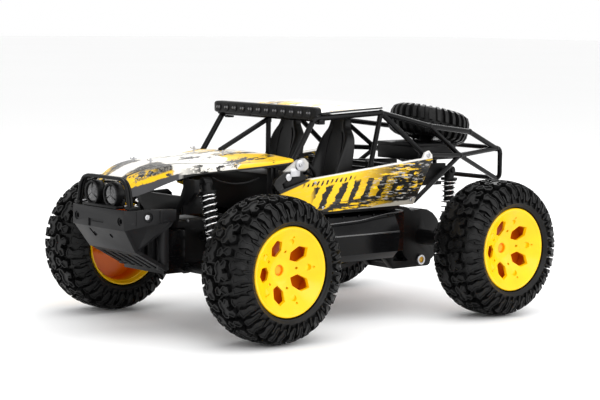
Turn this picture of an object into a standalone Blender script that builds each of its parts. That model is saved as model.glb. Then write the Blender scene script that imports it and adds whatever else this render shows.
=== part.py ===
"""A 1:12 radio-controlled desert buggy, built as the real toy is: a moulded chassis tub with a tube cage
and body panels, double-wishbone front suspension with steering, and a swinging rear axle with its motor and
gears.

Lengths are in millimetres until an object is made, and metres in the scene. +X is forward, +Y is left, +Z is
up. Stations along X are measured from the middle of the wheelbase, and ORIGIN_X moves that to the middle of
the overall length. The ground is at z = 0.
"""

import math

import bmesh
import bpy
from mathutils import Matrix, Vector

# Driving dimensions
MM = 0.001
TYRE_DIAMETER = 110.0
TYRE_WIDTH = 50.0
WHEELBASE = 234.0
TRACK = 208.0
RIM_RADIUS = 33.8
CAGE_HALF_WIDTH = 57.0
ROOF_HEIGHT = 164.0
BUMPER_FRONT_X = 200.0
REAR_FRAME_X = -188.0
FLOOR_HEIGHT = 46.0
TUBE_RADIUS = 2.3
GAP = 0.3

# Worked out from them
AXLE_Z = TYRE_DIAMETER / 2
FRONT_X = WHEELBASE / 2
REAR_X = -WHEELBASE / 2
WHEEL_Y = TRACK / 2
ORIGIN_X = (BUMPER_FRONT_X + REAR_FRAME_X - TUBE_RADIUS) / 2
LIP = 21.4
SIDES = {"left": 1, "right": -1}

# Front suspension, seen from the front: pivots as (y, z)
ARM_INNER_Y = 22.0
ARM_OUTER_Y = 79.0
LOWER_ARM_Z = 48.0
UPPER_ARM_Z = 72.0
KINGPIN_Y = 88.0
STEERING_ARM = 16.0
TIE_ROD_Z = 58.0
FRONT_SHOCK_X = 128.5
FRONT_SHOCK_TOP = (38.0, 114.5)
FRONT_SHOCK_FOOT = (52.0, 55.5)

# Rear suspension, seen from the side: pivots as (x, z)
SWING_PIVOT = (-70.0, 48.0)
REAR_SHOCK_TOP = (-127.0, 112.5)
REAR_SHOCK_FOOT = (-127.0, 65.5)
REAR_SHOCK_Y = 40.0

# Gears
GEAR_MODULE = 0.9
GEAR_TEETH = 42
PINION_TEETH = 14
MOTOR_ANGLE = math.radians(35)
GEAR_CENTRES = GEAR_MODULE * (GEAR_TEETH + PINION_TEETH) / 2
MOTOR_X = REAR_X + GEAR_CENTRES * math.cos(MOTOR_ANGLE)
MOTOR_Z = AXLE_Z + GEAR_CENTRES * math.sin(MOTOR_ANGLE)
GEAR_Y = (8.0, 13.0)

# Cage joints, left side, as (x, y, z)
ROOF_FRONT = (38.0, CAGE_HALF_WIDTH, 161.0)
ROOF_REAR = (-32.0, CAGE_HALF_WIDTH, ROOF_HEIGHT)
PILLAR_FOOT = (65.0, 58.2, 120.6)
DOOR_POST_FOOT = (-14.0, 57.0, 89.6)
PANEL_TAB = (-77.0, 61.0, 129.0)
RAIL_MIDDLE = (-90.0, 53.0, 151.5)
RAIL_END = (-143.0, 47.0, 145.0)
CAGE_KNOT = (-127.0, 52.0, 126.0)
REAR_TOP = (REAR_FRAME_X, 40.0, 129.0)
REAR_LOW = (REAR_FRAME_X, 40.0, 103.0)
STRUT_FOOT = (-70.0, 57.0, 91.0)


# ---------------------------------------------------------------- helpers


def clear_scene():
    for old in list(bpy.data.objects):
        bpy.data.objects.remove(old, do_unlink=True)


MATERIALS = {}


def material(name, colour, roughness, metallic=0.0):
    made = bpy.data.materials.new(name)
    made.use_nodes = True
    shader = made.node_tree.nodes["Principled BSDF"]
    shader.inputs["Base Color"].default_value = (*colour, 1.0)
    shader.inputs["Roughness"].default_value = roughness
    shader.inputs["Metallic"].default_value = metallic
    made.diffuse_color = (*colour, 1.0)
    MATERIALS[name] = made


def make_materials():
    material("black_plastic", (0.022, 0.022, 0.024), 0.5)
    material("gloss_black", (0.010, 0.010, 0.012), 0.2)
    material("grey_plastic", (0.060, 0.060, 0.064), 0.6)
    material("yellow_plastic", (0.95, 0.62, 0.01), 0.3)
    material("body_paint", (0.85, 0.60, 0.05), 0.3)
    material("rubber", (0.020, 0.020, 0.021), 0.75)
    material("steel", (0.60, 0.60, 0.62), 0.3, 1.0)
    material("lamp", (0.10, 0.10, 0.11), 0.15)
    material("battery_wrap", (0.03, 0.10, 0.35), 0.4)
    material("board_green", (0.02, 0.20, 0.06), 0.5)


def frame_along(start, end):
    """A matrix that carries +Z onto the line from start to end, with its origin at start."""
    line = Vector(end) - Vector(start)
    turn = line.to_track_quat("Z", "Y").to_matrix().to_4x4()
    return Matrix.Translation(Vector(start)) @ turn


def add_rod(bm, start, end, radius, sides=8, end_radius=None):
    """A round bar from start to end."""
    length = (Vector(end) - Vector(start)).length
    middle = frame_along(start, end) @ Matrix.Translation((0, 0, length / 2))
    bmesh.ops.create_cone(bm, cap_ends=True, segments=sides, radius1=radius,
                          radius2=radius if end_radius is None else end_radius,
                          depth=length, matrix=middle)


def add_box(bm, low, high):
    low, high = Vector(low), Vector(high)
    size = Matrix.Diagonal((*(high - low), 1.0))
    bmesh.ops.create_cube(bm, size=1.0, matrix=Matrix.Translation((low + high) / 2) @ size)


def add_ball(bm, centre, radius):
    """A coarse ball, turned so that none of its faces lies along a tube."""
    turn = Matrix.Rotation(0.37, 4, "X") @ Matrix.Rotation(0.53, 4, "Y")
    bmesh.ops.create_icosphere(bm, subdivisions=2, radius=radius, matrix=Matrix.Translation(Vector(centre)) @ turn)


def add_prism(bm, outline, axis, start, end):
    """An outline of two coordinates, pushed along the third axis from start to end."""
    def place(point, along):
        first, second = point
        return {"X": (along, first, second), "Y": (first, along, second), "Z": (first, second, along)}[axis]

    corners = [bm.verts.new(place(point, start)) for point in outline]
    face = bm.faces.new(corners)
    pushed = bmesh.ops.extrude_face_region(bm, geom=[face])["geom"]
    shift = Vector(place((0.0, 0.0), end)) - Vector(place((0.0, 0.0), start))
    bmesh.ops.translate(bm, verts=[v for v in pushed if isinstance(v, bmesh.types.BMVert)], vec=shift)
    bmesh.ops.recalc_face_normals(bm, faces=bm.faces)


def add_loft(bm, sections):
    """A closed skin of triangles through sections, which are rings with the same number of points."""
    rings = [[bm.verts.new(point) for point in ring] for ring in sections]
    count = len(rings[0])
    for near, far in zip(rings, rings[1:]):
        for i in range(count):
            j = (i + 1) % count
            bm.faces.new((near[i], near[j], far[j], far[i]))
    bm.faces.new(rings[0])
    bm.faces.new(rings[-1])
    bmesh.ops.triangulate(bm, faces=bm.faces)
    bmesh.ops.recalc_face_normals(bm, faces=bm.faces)


def add_turned(bm, outline, centre, steps, turn=0.0, flip=1):
    """A closed outline of (radius, y) points turned about the Y axis through centre. flip -1 mirrors it in y."""
    x, y, z = centre
    rings = []
    for step in range(steps):
        angle = turn + 2 * math.pi * step / steps
        rings.append([bm.verts.new((x + r * math.cos(angle), y + flip * along, z + r * math.sin(angle)))
                      for r, along in outline])
    count = len(outline)
    for step in range(steps):
        near, far = rings[step], rings[(step + 1) % steps]
        for i in range(count):
            j = (i + 1) % count
            bm.faces.new((near[i], near[j], far[j], far[i]))
    bmesh.ops.recalc_face_normals(bm, faces=bm.faces)


def add_bent_tube(bm, points, radius, sides=8, closed=False):
    """A tube along a line of points, mitred at each bend."""
    points = [Vector(point) for point in points]
    first = (points[1] - points[0]).normalized()
    aside = first.orthogonal().normalized()
    upward = first.cross(aside)
    angles = [0.2 + 2 * math.pi * i / sides for i in range(sides)]
    offsets = [radius * (math.cos(angle) * aside + math.sin(angle) * upward) for angle in angles]
    rings = [] if closed else [[bm.verts.new(points[0] + offset) for offset in offsets]]
    if closed:
        points = points + points[:2]
    for before, here, after in zip(points, points[1:], points[2:]):
        arriving, leaving = (here - before).normalized(), (after - here).normalized()
        normal = (arriving + leaving).normalized()
        offsets = [o - arriving * (o.dot(normal) / arriving.dot(normal)) for o in offsets]
        rings.append([bm.verts.new(here + offset) for offset in offsets])
        offsets = [o - leaving * o.dot(leaving) for o in offsets]
    if not closed:
        rings.append([bm.verts.new(points[-1] + offset) for offset in offsets])
    pairs = list(zip(rings, rings[1:])) + ([(rings[-1], rings[0])] if closed else [])
    for near, far in pairs:
        for i in range(sides):
            j = (i + 1) % sides
            bm.faces.new((near[i], near[j], far[j], far[i]))
    if not closed:
        bm.faces.new(rings[0])
        bm.faces.new(rings[-1])
    bmesh.ops.recalc_face_normals(bm, faces=bm.faces)


def add_spring(bm, top, foot, coil_radius, wire, turns, steps_per_turn):
    """A coil of square wire between two points."""
    frame = frame_along(foot, top)
    length = (Vector(top) - Vector(foot)).length - 2 * wire
    count = int(turns * steps_per_turn)
    rings = []
    for step in range(count + 1):
        angle = 2 * math.pi * step / steps_per_turn
        middle = Vector((coil_radius * math.cos(angle), coil_radius * math.sin(angle),
                         wire + length * step / count))
        outward = Vector((math.cos(angle), math.sin(angle), 0.0))
        up = Vector((0.0, 0.0, 1.0))
        rings.append([bm.verts.new(frame @ (middle + wire * (a * outward + b * up)))
                      for a, b in ((1, 0), (0, 1), (-1, 0), (0, -1))])
    for near, far in zip(rings, rings[1:]):
        for i in range(4):
            j = (i + 1) % 4
            bm.faces.new((near[i], near[j], far[j], far[i]))
    bm.faces.new(rings[0])
    bm.faces.new(rings[-1])
    bmesh.ops.recalc_face_normals(bm, faces=bm.faces)


EMPTIES = {}


def body_empty(name, pivot, parent=None):
    """An empty on a joint's axis. What moves with the joint is parented to it."""
    empty = bpy.data.objects.new("pivot_" + name, None)
    bpy.context.collection.objects.link(empty)
    place = (Vector(pivot) - Vector((ORIGIN_X, 0, 0))) * MM
    empty.location = place - (EMPTIES[parent][1] if parent else Vector())
    if parent:
        empty.parent = EMPTIES[parent][0]
    EMPTIES[name] = (empty, place)


def to_object(name, bm, body=None, smooth=30):
    """The bmesh, which is in millimetres, as an object in metres whose origin is its body's pivot."""
    bmesh.ops.translate(bm, verts=bm.verts, vec=(-ORIGIN_X, 0, 0))
    bmesh.ops.scale(bm, verts=bm.verts, vec=(MM, MM, MM))
    if body:
        bmesh.ops.translate(bm, verts=bm.verts, vec=-EMPTIES[body][1])
    mesh = bpy.data.meshes.new(name)
    bm.to_mesh(mesh)
    bm.free()
    mesh.shade_smooth()
    mesh.set_sharp_from_angle(angle=math.radians(smooth))
    obj = bpy.data.objects.new(name, mesh)
    bpy.context.collection.objects.link(obj)
    if body:
        obj.parent = EMPTIES[body][0]
    return obj


def helper(bm, body):
    """A Boolean operand: in the file, and out of the render."""
    obj = to_object("helper", bm, body)
    obj.hide_render = True
    obj.display_type = "WIRE"
    return obj


def part(name, look, solids, cuts=(), body=None):
    """One node. Each of solids and cuts is a function that adds one closed shape to a bmesh: the solids are
    joined, then the cuts are taken away."""
    def shape(adder):
        bm = bmesh.new()
        adder(bm)
        return bm

    obj = to_object(name, shape(solids[0]), body)
    for operation, adders in (("UNION", solids[1:]), ("DIFFERENCE", cuts)):
        for adder in adders:
            modifier = obj.modifiers.new(operation.lower(), "BOOLEAN")
            modifier.operation = operation
            modifier.solver = "EXACT"
            modifier.object = helper(shape(adder), body)
    obj.data.materials.append(MATERIALS[look])
    return obj


def rod(start, end, radius, sides=8, end_radius=None):
    return lambda bm: add_rod(bm, start, end, radius, sides, end_radius)


def tube(points, radius, closed=False):
    return lambda bm: add_bent_tube(bm, points, radius, 8, closed)


def box(low, high):
    return lambda bm: add_box(bm, low, high)


def ball(centre, radius):
    return lambda bm: add_ball(bm, centre, radius)


def prism(outline, axis, start, end):
    return lambda bm: add_prism(bm, outline, axis, start, end)


def loft(sections):
    return lambda bm: add_loft(bm, sections)


def turned(outline, centre, steps, turn=0.0, flip=1):
    return lambda bm: add_turned(bm, outline, centre, steps, turn, flip)


def sided(point, side):
    """A point of the left side, on the left or mirrored to the right."""
    x, y, z = point
    return (x, side * y, z)


# ---------------------------------------------------------------- chassis and body


def chassis_tub():
    """The moulded tub: a trough with side pods, a nose beam under the front axle, ears for the rear swing."""
    floor, thick = FLOOR_HEIGHT, 2.5
    wall_top = 86.0
    trough = [(-44, floor), (44, floor), (44, wall_top), (-44, wall_top)]
    hollow = [(-41, floor + thick), (41, floor + thick), (41, wall_top + 5), (-41, wall_top + 5)]
    solids = [prism(trough, "X", -62, 92)]
    cuts = [prism(hollow, "X", -59, 89)]
    for side in SIDES.values():
        pod = [(42, floor + 1), (60, floor + 1), (66, 53), (68.5, 69), (61, 83), (42, wall_top - 0.5)]
        inside = [(38, floor + 3.5), (58.5, floor + 3.5), (63.5, 54.5), (65.7, 69), (59, 80.5), (38, 82.5)]
        solids.append(prism([(side * y, z) for y, z in pod], "X", -45, 33))
        cuts.append(prism([(side * y, z) for y, z in inside], "X", -42, 30))
        low, high = sorted((side * 17.5, side * 23.0))
        ear = [(-60, floor + 0.2), (-60, 60), (-70, 55), (-76, 50), (-76, 43.5), (-70, 41.5)]
        solids.append(prism(ear, "Y", low, high))
        corner, rear = sorted((side * 42, side * 55))
        solids.append(box((-61.5, corner, 51), (-43, rear, 84)))
    solids.append(box((90, -13.5, floor - 1.5), (140, 13.5, floor + 0.8)))
    solids.append(box((138.5, -26, floor - 0.4), (158, 26, 78)))
    solids.append(rod((SWING_PIVOT[0], -20, SWING_PIVOT[1]), (SWING_PIVOT[0], 20, SWING_PIVOT[1]), 2.0))
    cuts.append(box((-36, 15.5, floor - 3), (-24, 20.5, floor + 6)))
    part("chassis_tub", "gloss_black", solids, cuts)


def power_switch():
    body_empty("switch", (-32, 18, FLOOR_HEIGHT + 2))
    part("power_switch", "grey_plastic",
         [box((-35.5, 15.9, FLOOR_HEIGHT + 0.4), (-29.5, 20.1, FLOOR_HEIGHT + 4)),
          box((-37.5, 13.5, FLOOR_HEIGHT + 2.9), (-27.5, 22.5, FLOOR_HEIGHT + 5.5))], body="switch")


def electronics():
    floor = FLOOR_HEIGHT + 2.5 + GAP
    part("battery_pack", "battery_wrap", [box((-56, -30, floor), (14, 10, floor + 21))])
    part("receiver_board", "board_green",
         [box((18, -24, floor), (58, 24, floor + 1.8)), box((24, -16, floor + 1.5), (36, -4, floor + 7)),
          box((42, 2, floor + 1.5), (54, 18, floor + 9)),
          rod((30, 12, floor + 1.5), (30, 12, floor + 12), 4)])
    part("steering_servo", "black_plastic",
         [box((64, -11, floor), (84, 11, floor + 22)), box((66, -15, floor + 15), (70, 15, floor + 18)),
          rod((80, 0, floor + 21), (80, 0, floor + 26), 3.2)])


def cockpit_tray():
    """The cockpit floor, its dashboard and the boss of the steering wheel."""
    base = 86 + GAP
    part("cockpit_tray", "black_plastic",
         [box((-52, -60, base), (62, 60, base + 2.5)),
          prism([(40, base + 1), (62, base + 1), (70, 112), (70, 118), (52, 120), (40, 108)], "Y", -60, 60),
          box((-8, -9, base + 1), (38, 9, base + 14)),
          rod((44, 31, 108), (28, 31, 117), 2.2)])


def seat(name, side):
    """A bucket seat: squab, reclined back with bolsters, and a narrower head rest."""
    base = 88.8 + GAP
    y = side * 31
    squab = box((-6, y - 17, base), (30, y + 17, base + 9))
    heights = ((base, 17.5, -10, 2), (128, 18, -14, -3), (141, 16.5, -16, -5.5), (148.5, 11, -17, -7.5),
               (152, 9, -17.5, -8), (159.5, 8, -18, -9.5))
    sections = [[(low, y - half, z), (high, y - half, z), (high, y + half, z), (low, y + half, z)]
                for z, half, low, high in heights]
    solids = [squab, loft(sections)]
    for edge in (-1, 1):
        inner, outer = sorted((y + edge * 12.5, y + edge * 17.2))
        bolster = [(-4, base + 1), (29, base + 1), (29, base + 12), (16, base + 15), (8, 126), (-4, 141),
                   (-13, 141)]
        solids.append(prism(bolster, "Y", inner, outer))
    part(name, "black_plastic", solids)


def steering_wheel():
    """Ring, hub and three spokes, on the dashboard's boss."""
    centre = Vector((26.0, 31.0, 118.4))
    axis = Vector((-16.0, 0.0, 9.0)).normalized()
    turn = axis.to_track_quat("Z", "Y").to_matrix().to_4x4()
    frame = Matrix.Translation(centre) @ turn

    def ring(bm):
        rings = []
        for step in range(18):
            angle = 2 * math.pi * step / 18
            rings.append([bm.verts.new(frame @ Vector(((12 + 1.5 * a) * math.cos(angle),
                                                       (12 + 1.5 * a) * math.sin(angle), 1.5 * b)))
                          for a, b in ((1, 0), (0, 1), (-1, 0), (0, -1))])
        for step in range(18):
            near, far = rings[step], rings[(step + 1) % 18]
            for i in range(4):
                j = (i + 1) % 4
                bm.faces.new((near[i], near[j], far[j], far[i]))
        bmesh.ops.recalc_face_normals(bm, faces=bm.faces)

    def at(radius, angle, along=0.0):
        return frame @ Vector((radius * math.cos(angle), radius * math.sin(angle), along))

    spokes = [rod(at(0, 0), at(12, math.radians(90 + 120 * i)), 1.0, 6) for i in range(3)]
    part("steering_wheel", "black_plastic", [ring, rod(at(0, 0, -1.3), at(0, 0, 1.4), 3.2), *spokes])


def front_bumper():
    """A folded bumper: upright face, chin that slopes back, flared cheeks and a slatted skid."""
    face, top, crease = BUMPER_FRONT_X, 96.5, 81.5
    thick = 3.0

    def upright(x, half, low, high):
        return [(x, -half, low), (x, half, low), (x, half, high), (x, -half, high)]

    def level(back, front, half, z):
        return [(back, -half, z), (front, -half, z), (front, half, z), (back, half, z)]

    upper = loft([upright(face, 33.5, crease, top), upright(161, 45, 88.5, top)])
    chin = loft([level(face - 3.9, face - 0.2, 33.2, crease + 1.0), level(183.4, 187.2, 30, 64)])
    skid = loft([upright(187.0, 29.8, 64.3, 67.5), upright(158 + GAP, 29.8, 48.3, 51.6)])
    struts = []
    for side in SIDES.values():
        web = [(197.6, 32.6, 83.0), (184.8, 29.2, 65.4), (163.5, 42.6, 87.0)]
        struts.append(loft([[(x, side * (y - inset), z) for x, y, z in web] for inset in (0.0, 2.2)]))
        struts.append(loft([[(186.5, side * 27, 64), (186.5, side * 30, 64), (182, side * 30, 68.5),
                             (182, side * 27, 68.5)],
                            [(165, side * 40, 84), (165, side * 43.5, 84), (161, side * 44.5, 90),
                             (161, side * 41, 90)]]))
    pocket = loft([[(face - thick, -30.5, crease + 3), (face - thick, 30.5, crease + 3),
                    (face - thick, 30.5, top + 5), (face - thick, -30.5, top + 5)],
                   [(150, -42, crease + 3), (150, 42, crease + 3), (150, 42, top + 5), (150, -42, top + 5)]])
    mount = box((158 + GAP, -19, 51), (164, 19, 77))
    brace = [box((160, side * 15.7 - 1.8, 70), (191, side * 15.7 + 1.8, 75.6)) for side in SIDES.values()]
    slots = [box((154, y - 2.7, 40), (181, y + 2.7, 75)) for y in (-21, -10.5, 0, 10.5, 21)]
    part("front_bumper", "grey_plastic", [upper, chin, skid, *struts, *brace, mount], [pocket, *slots])


def lamp_guard():
    """The hoop round the lamps, bent from flat bar, on two feet."""
    x0, x1 = 191.5, 196.5
    outer = [(-35, 97), (-32.5, 112), (-28, 118), (-22, 120.5), (22, 120.5), (28, 118), (32.5, 112), (35, 97)]
    inner = [(31, 97), (28.8, 110.5), (25, 115), (20.5, 116.8), (-20.5, 116.8), (-25, 115), (-28.8, 110.5),
             (-31, 97)]
    feet = [box((187, side * 33 - 4, 96.5 + GAP), (197, side * 33 + 4, 99)) for side in SIDES.values()]
    part("lamp_guard", "black_plastic", [prism(outer + inner, "X", x0, x1), *feet])


def headlamps():
    """Two round lamps on one bracket, which stands on the bumper's face."""
    base = 96.5 + GAP
    solids = [box((191, -22, base), (199.5, 22, base + 2)), box((190.5, -22, base + 0.5), (193, 22, base + 7))]
    for side in SIDES.values():
        solids.append(rod((190, side * 12.2, 106.6), (198, side * 12.2, 106.6), 9.3, 20))
    part("headlamps", "lamp", solids)


def hood():
    """The bonnet: a crowned skin from the nose to the cowl, with its skirts turned down at the nose."""
    thick = 1.7
    # station: x, half width, skirt height, edge height, crown height
    stations = ((189, 20, 103.8, 114, 117), (184, 22, 105, 118, 120.5), (175, 24.5, 107.5, 122.6, 124.3),
                (167, 26, 110.5, 125.8, 127.3), (155, 28, 115, 128, 129.3), (140, 34, 120, 128.5, 131),
                (120, 43, 122, 126.5, 133), (98, 52, 123.5, 127, 134.5), (78, 59, 126, 129.5, 135.5),
                (62, 61, 127.5, 131, 134))

    def outline(x, half, skirt, edge, crown, inset):
        top = crown - inset
        rim = edge - inset * 0.8
        width = half - inset
        across_top = [(-1.0, rim), (-0.55, rim + 0.72 * (top - rim)), (0.0, top),
                      (0.55, rim + 0.72 * (top - rim)), (1.0, rim)]
        ring = [(x, width * share, z) for share, z in across_top]
        return ring, skirt

    sections = []
    for x, half, skirt, edge, crown in stations:
        outer, _ = outline(x, half, skirt, edge, crown, 0.0)
        inner, _ = outline(x, half, skirt, edge, crown, thick)
        ring = [(x, -half - 0.6, skirt)] + outer + [(x, half + 0.6, skirt)]
        ring += [(x, half + 0.6 - thick, skirt)] + inner[::-1] + [(x, -half - 0.6 + thick, skirt)]
        sections.append(ring)
    part("hood", "body_paint", [loft(sections)])


def side_panel(name, side):
    """A flat door panel with its top edge folded in, a rear ear and a front ear."""
    outline = [(-82, 124.5), (-81.5, 129), (-78, 132.5), (-73.5, 131), (-71, 126.5), (47, 115.5), (80, 107.5),
               (78, 104), (34, 89), (-61, 90)]
    low, high = sorted((side * 64.2, side * 66.0))
    fold = [(-71, 126.0), (47, 115.0), (79, 107.2), (79, 105.4), (47, 113.2), (-71, 124.2)]
    fold_low, fold_high = sorted((side * 60.4, side * 65.0))
    ear = [(54, 131.5), (50, 128), (50, 124), (54, 121), (66, 119.5), (76, 112.5), (73.5, 107.5), (80, 107),
           (84, 112), (82, 116), (68, 125.5), (60, 130.5)]
    ear_low, ear_high = sorted((side * 62.0, side * 65.0))
    part(name, "body_paint", [prism(outline, "Y", low, high), prism(fold, "Y", fold_low, fold_high),
                              prism(ear, "Y", ear_low, ear_high)])


def roof_panel():
    """The roof skin, crowned, above the roof rails."""
    rows = ((32, 164.0, 168.5), (14, 165.2, 171), (-10, 166.3, 172), (-33, 167.2, 170))
    sections = []
    for x, edge, crown in rows:
        half = 59
        shoulder = edge + 0.75 * (crown - edge)
        ring = [(x, -half, edge), (x, half, edge), (x, half, edge + 1.6), (x, half * 0.55, shoulder),
                (x, 0, crown), (x, -half * 0.55, edge + 0.75 * (crown - edge)), (x, -half, edge + 1.6)]
        sections.append(ring)
    part("roof_panel", "body_paint", [loft(sections)])


def light_bar():
    """The roof lamp bar: a long case, rounded at its ends, on two brackets."""
    half = 64.5
    case = [(43.5, 160.8), (43.5, 169.4), (42.5, 170.4), (36.5, 170.4), (35.0, 169), (35.0, 163.9), (41.4, 163.6),
            (42.0, 160.8)]
    solids = [prism(case, "Y", -half, half)]
    for i in range(12):
        y = (i - 5.5) * 10.4
        solids.append(rod((42.5, y, 165.2), (44.4, y, 165.2), 3.3, 8))
    part("light_bar", "black_plastic", solids)


def cage_side(name, side):
    """One side of the roll cage, from the windscreen pillar to the tail."""
    knots = {"roof_front": ROOF_FRONT, "roof_rear": ROOF_REAR, "pillar": PILLAR_FOOT, "post": DOOR_POST_FOOT,
             "tab": PANEL_TAB, "middle": RAIL_MIDDLE, "end": RAIL_END, "knot": CAGE_KNOT, "strut": STRUT_FOOT,
             "top": (REAR_FRAME_X + 5.2, 40.0, 129.0), "low": (REAR_FRAME_X + 5.2, 40.0, 103.6)}
    knots = {key: sided(place, side) for key, place in knots.items()}
    runs = [("pillar", "roof_front", "roof_rear", "middle", "end", "top"), ("roof_rear", "tab", "knot", "top"),
            ("post", "roof_rear"), ("middle", "knot"), ("strut", "knot", "low")]
    solids = []
    for i, run in enumerate(runs):
        solids.append(tube([knots[key] for key in run], TUBE_RADIUS - 0.07 * i))
    solids += [ball(knots[key], TUBE_RADIUS * 1.2) for key in ("roof_rear", "knot", "top")]
    part(name, "gloss_black", solids)


def windscreen_brace():
    """The header tube under the lamp bar, with the centre post and the brace that runs to the bonnet."""
    y = CAGE_HALF_WIDTH - TUBE_RADIUS * 1.12 - GAP
    part("windscreen_brace", "gloss_black",
         [tube([(38, -y, 160.8), (38, y, 160.8)], TUBE_RADIUS - 0.1),
          tube([(37, 0, 161), (37, 0, 120.6)], TUBE_RADIUS - 0.2),
          tube([(38, 0, 158), (80, 0, 137.6)], TUBE_RADIUS - 0.3)])


def rear_frame():
    """The rectangle at the tail that joins the two cage sides."""
    half, bend = 40.0, 3.0
    low, high = REAR_LOW[2], REAR_TOP[2]
    loop = [(half, high - bend), (half - bend, high), (bend - half, high), (-half, high - bend),
            (-half, low + bend),
            (bend - half, low), (half - bend, low), (half, low + bend)]
    part("rear_frame", "gloss_black", [tube([(REAR_FRAME_X, y, z) for y, z in loop], TUBE_RADIUS, True)])


def tilted(centre, pitch):
    """A frame whose Z axis leans back by pitch."""
    return Matrix.Translation(Vector(centre)) @ Matrix.Rotation(-pitch, 4, "Y")


SPARE_CENTRE = (-141.0, 0.0, 149.0)
SPARE_PITCH = math.radians(14)
SPARE_RADIUS = 35.0
SPARE_HALF_WIDTH = 13.0


def spare_wheel():
    """The small spare that lies on the tail, tyre and hub."""
    frame = tilted(SPARE_CENTRE, SPARE_PITCH)

    def turned_here(outline, steps):
        def adder(bm):
            add_turned(bm, outline, (0, 0, 0), steps)
            bmesh.ops.transform(bm, verts=bm.verts, matrix=frame @ Matrix.Rotation(math.radians(90), 4, "X"))
        return adder

    half, radius = SPARE_HALF_WIDTH, SPARE_RADIUS
    tyre = [(19.5, -half + 2), (24, -half), (31, -half + 0.8), (radius - 0.6, -half + 4.5), (radius, 0),
            (radius - 0.6, half - 4.5), (31, half - 0.8), (24, half), (19.5, half - 2)]
    part("spare_tyre", "rubber", [turned_here(tyre, 28)])
    hub = [(4, -10), (16, -10), (19.1, -11), (19.1, 11), (17, 11), (15.5, 4), (4, 3)]
    part("spare_hub", "black_plastic", [turned_here(hub, 20)])


def front_tower():
    """Bulkhead with the hinge pins of the four front arms, and the plate that holds the shock tops."""
    x = FRONT_X
    plate = [(-17, 79), (17, 79), (20, 90), (44, 108), (44, 117.2), (32.5, 117.2), (26, 103.5), (-26, 103.5),
             (-32.5, 117.2), (-44, 117.2), (-44, 108), (-20, 90)]
    solids = [box((x - 10, -16, FLOOR_HEIGHT + 0.8 + GAP), (x + 14, 16, 84)),
              box((x + 12, -16, 78 + GAP), (x + 26, 16, 83.5)), prism(plate, "X", x + 22, x + 26.5)]
    for side in SIDES.values():
        for z, start, end in ((LOWER_ARM_Z, x - 9.5, x + 13), (UPPER_ARM_Z, x - 9.5, x - 3)):
            low, high = sorted((side * 14, side * (ARM_INNER_Y + 3.5)))
            solids.append(box((start, low, z - 3.5), (end, high, z + 3.5)))
        pin_y = side * ARM_INNER_Y
        solids.append(rod((x - 20, pin_y, LOWER_ARM_Z), (x + 20.5, pin_y, LOWER_ARM_Z), 1.5))
        solids.append(rod((x - 20, pin_y, UPPER_ARM_Z), (x + 4, pin_y, UPPER_ARM_Z), 1.5))
        y, z = FRONT_SHOCK_TOP
        solids.append(rod((FRONT_SHOCK_X - 5, side * y, z), (x + 24, side * y, z), 1.6))
    part("front_tower", "black_plastic", solids)


def rear_tower():
    """The deck behind the cockpit, its cheeks with the rear shock pins, and the post for the spare."""
    cheek = [(-56, 86.5), (-58, 104), (-66, 120), (-131, 118), (-132, 108), (-96, 98), (-74, 86.5)]
    solids = [box((-127, -31, 100), (-55, 31, 103)), box((-59, -31, 86 + GAP), (-54, 31, 102))]
    for side in SIDES.values():
        low, high = sorted((side * 28.5, side * 31.5))
        solids.append(prism(cheek, "Y", low, high))
        x, z = REAR_SHOCK_TOP
        solids.append(rod((x, side * 30.5, z), (x, side * (REAR_SHOCK_Y + 5), z), 1.6))
    post_top = tilted(SPARE_CENTRE, SPARE_PITCH) @ Vector((0, 0, -10 - GAP))
    knee = (post_top.x + 6, 0.0, 116.0)
    solids.append(tube([(-120, 0, 101), knee, tuple(post_top)], 6))
    part("rear_tower", "black_plastic", solids)


# ---------------------------------------------------------------- wheels


def wheel(corner, x, side, body):
    """A tyre on its five-spoke rim, turning about Y."""
    centre = (x, side * WHEEL_Y, AXLE_Z)
    radius, half = TYRE_DIAMETER / 2, TYRE_WIDTH / 2
    steps = 28
    grow = 1 / math.cos(math.pi / steps)
    shell = [(31.3, -17.6), (34.3, -17.6), (35, -22.6), (40, -half), (49, -half + 1.6), (54, -half + 7),
             (radius, -half + 12), (radius, half - 12), (54, half - 7), (49, half - 1.6), (40, half),
             (35, 22.6), (34.3, 17.6), (31.3, 17.6)]
    hollow = [(31.3, 13.5), (38, 20.5), (48, 20), (51.4, 12), (51.4, -12), (48, -20), (38, -20.5), (31.3, -13.5)]
    tread = shell + hollow
    tread = [(r * grow, along) for r, along in tread]
    part("tyre_" + corner, "rubber", [turned(tread, centre, steps, math.pi / steps, side)], body=body)

    rim = [(RIM_RADIUS, 17.9), (RIM_RADIUS, LIP), (31.6, LIP), (29.4, 19), (23, 15.2), (9, 8.6), (4.2, 8.2),
           (4.2, 5.6), (2.9, 5.6), (2.9, -6), (7, -6), (7, 5), (23, 12.8), (28.6, 15.6), (28.6, -18),
           (31.4, -LIP), (RIM_RADIUS, -LIP), (RIM_RADIUS, -17.9), (30.9, -17.9), (30.9, 17.9)]
    holes = []
    for i in range(5):
        angle = math.radians(40 + 72 * i)
        middle = Vector((x - 17.5 * math.cos(angle), 0, AXLE_Z + 17.5 * math.sin(angle)))
        hexagon = []
        for k in range(6):
            turn = math.pi / 3 * k
            along, wide = 6.6 * math.cos(turn), 5.4 * math.sin(turn) / math.sin(math.pi / 3)
            hexagon.append((middle.x + along * math.sin(angle) + wide * math.cos(angle),
                            middle.z + along * math.cos(angle) - wide * math.sin(angle)))
        low, high = sorted((side * (WHEEL_Y + 6.5), side * (WHEEL_Y + 25)))
        holes.append(prism(hexagon, "Y", low, high))
    part("rim_" + corner, "yellow_plastic", [turned(rim, centre, 20, 0.0, side)], holes, body=body)


# ---------------------------------------------------------------- front suspension


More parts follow.
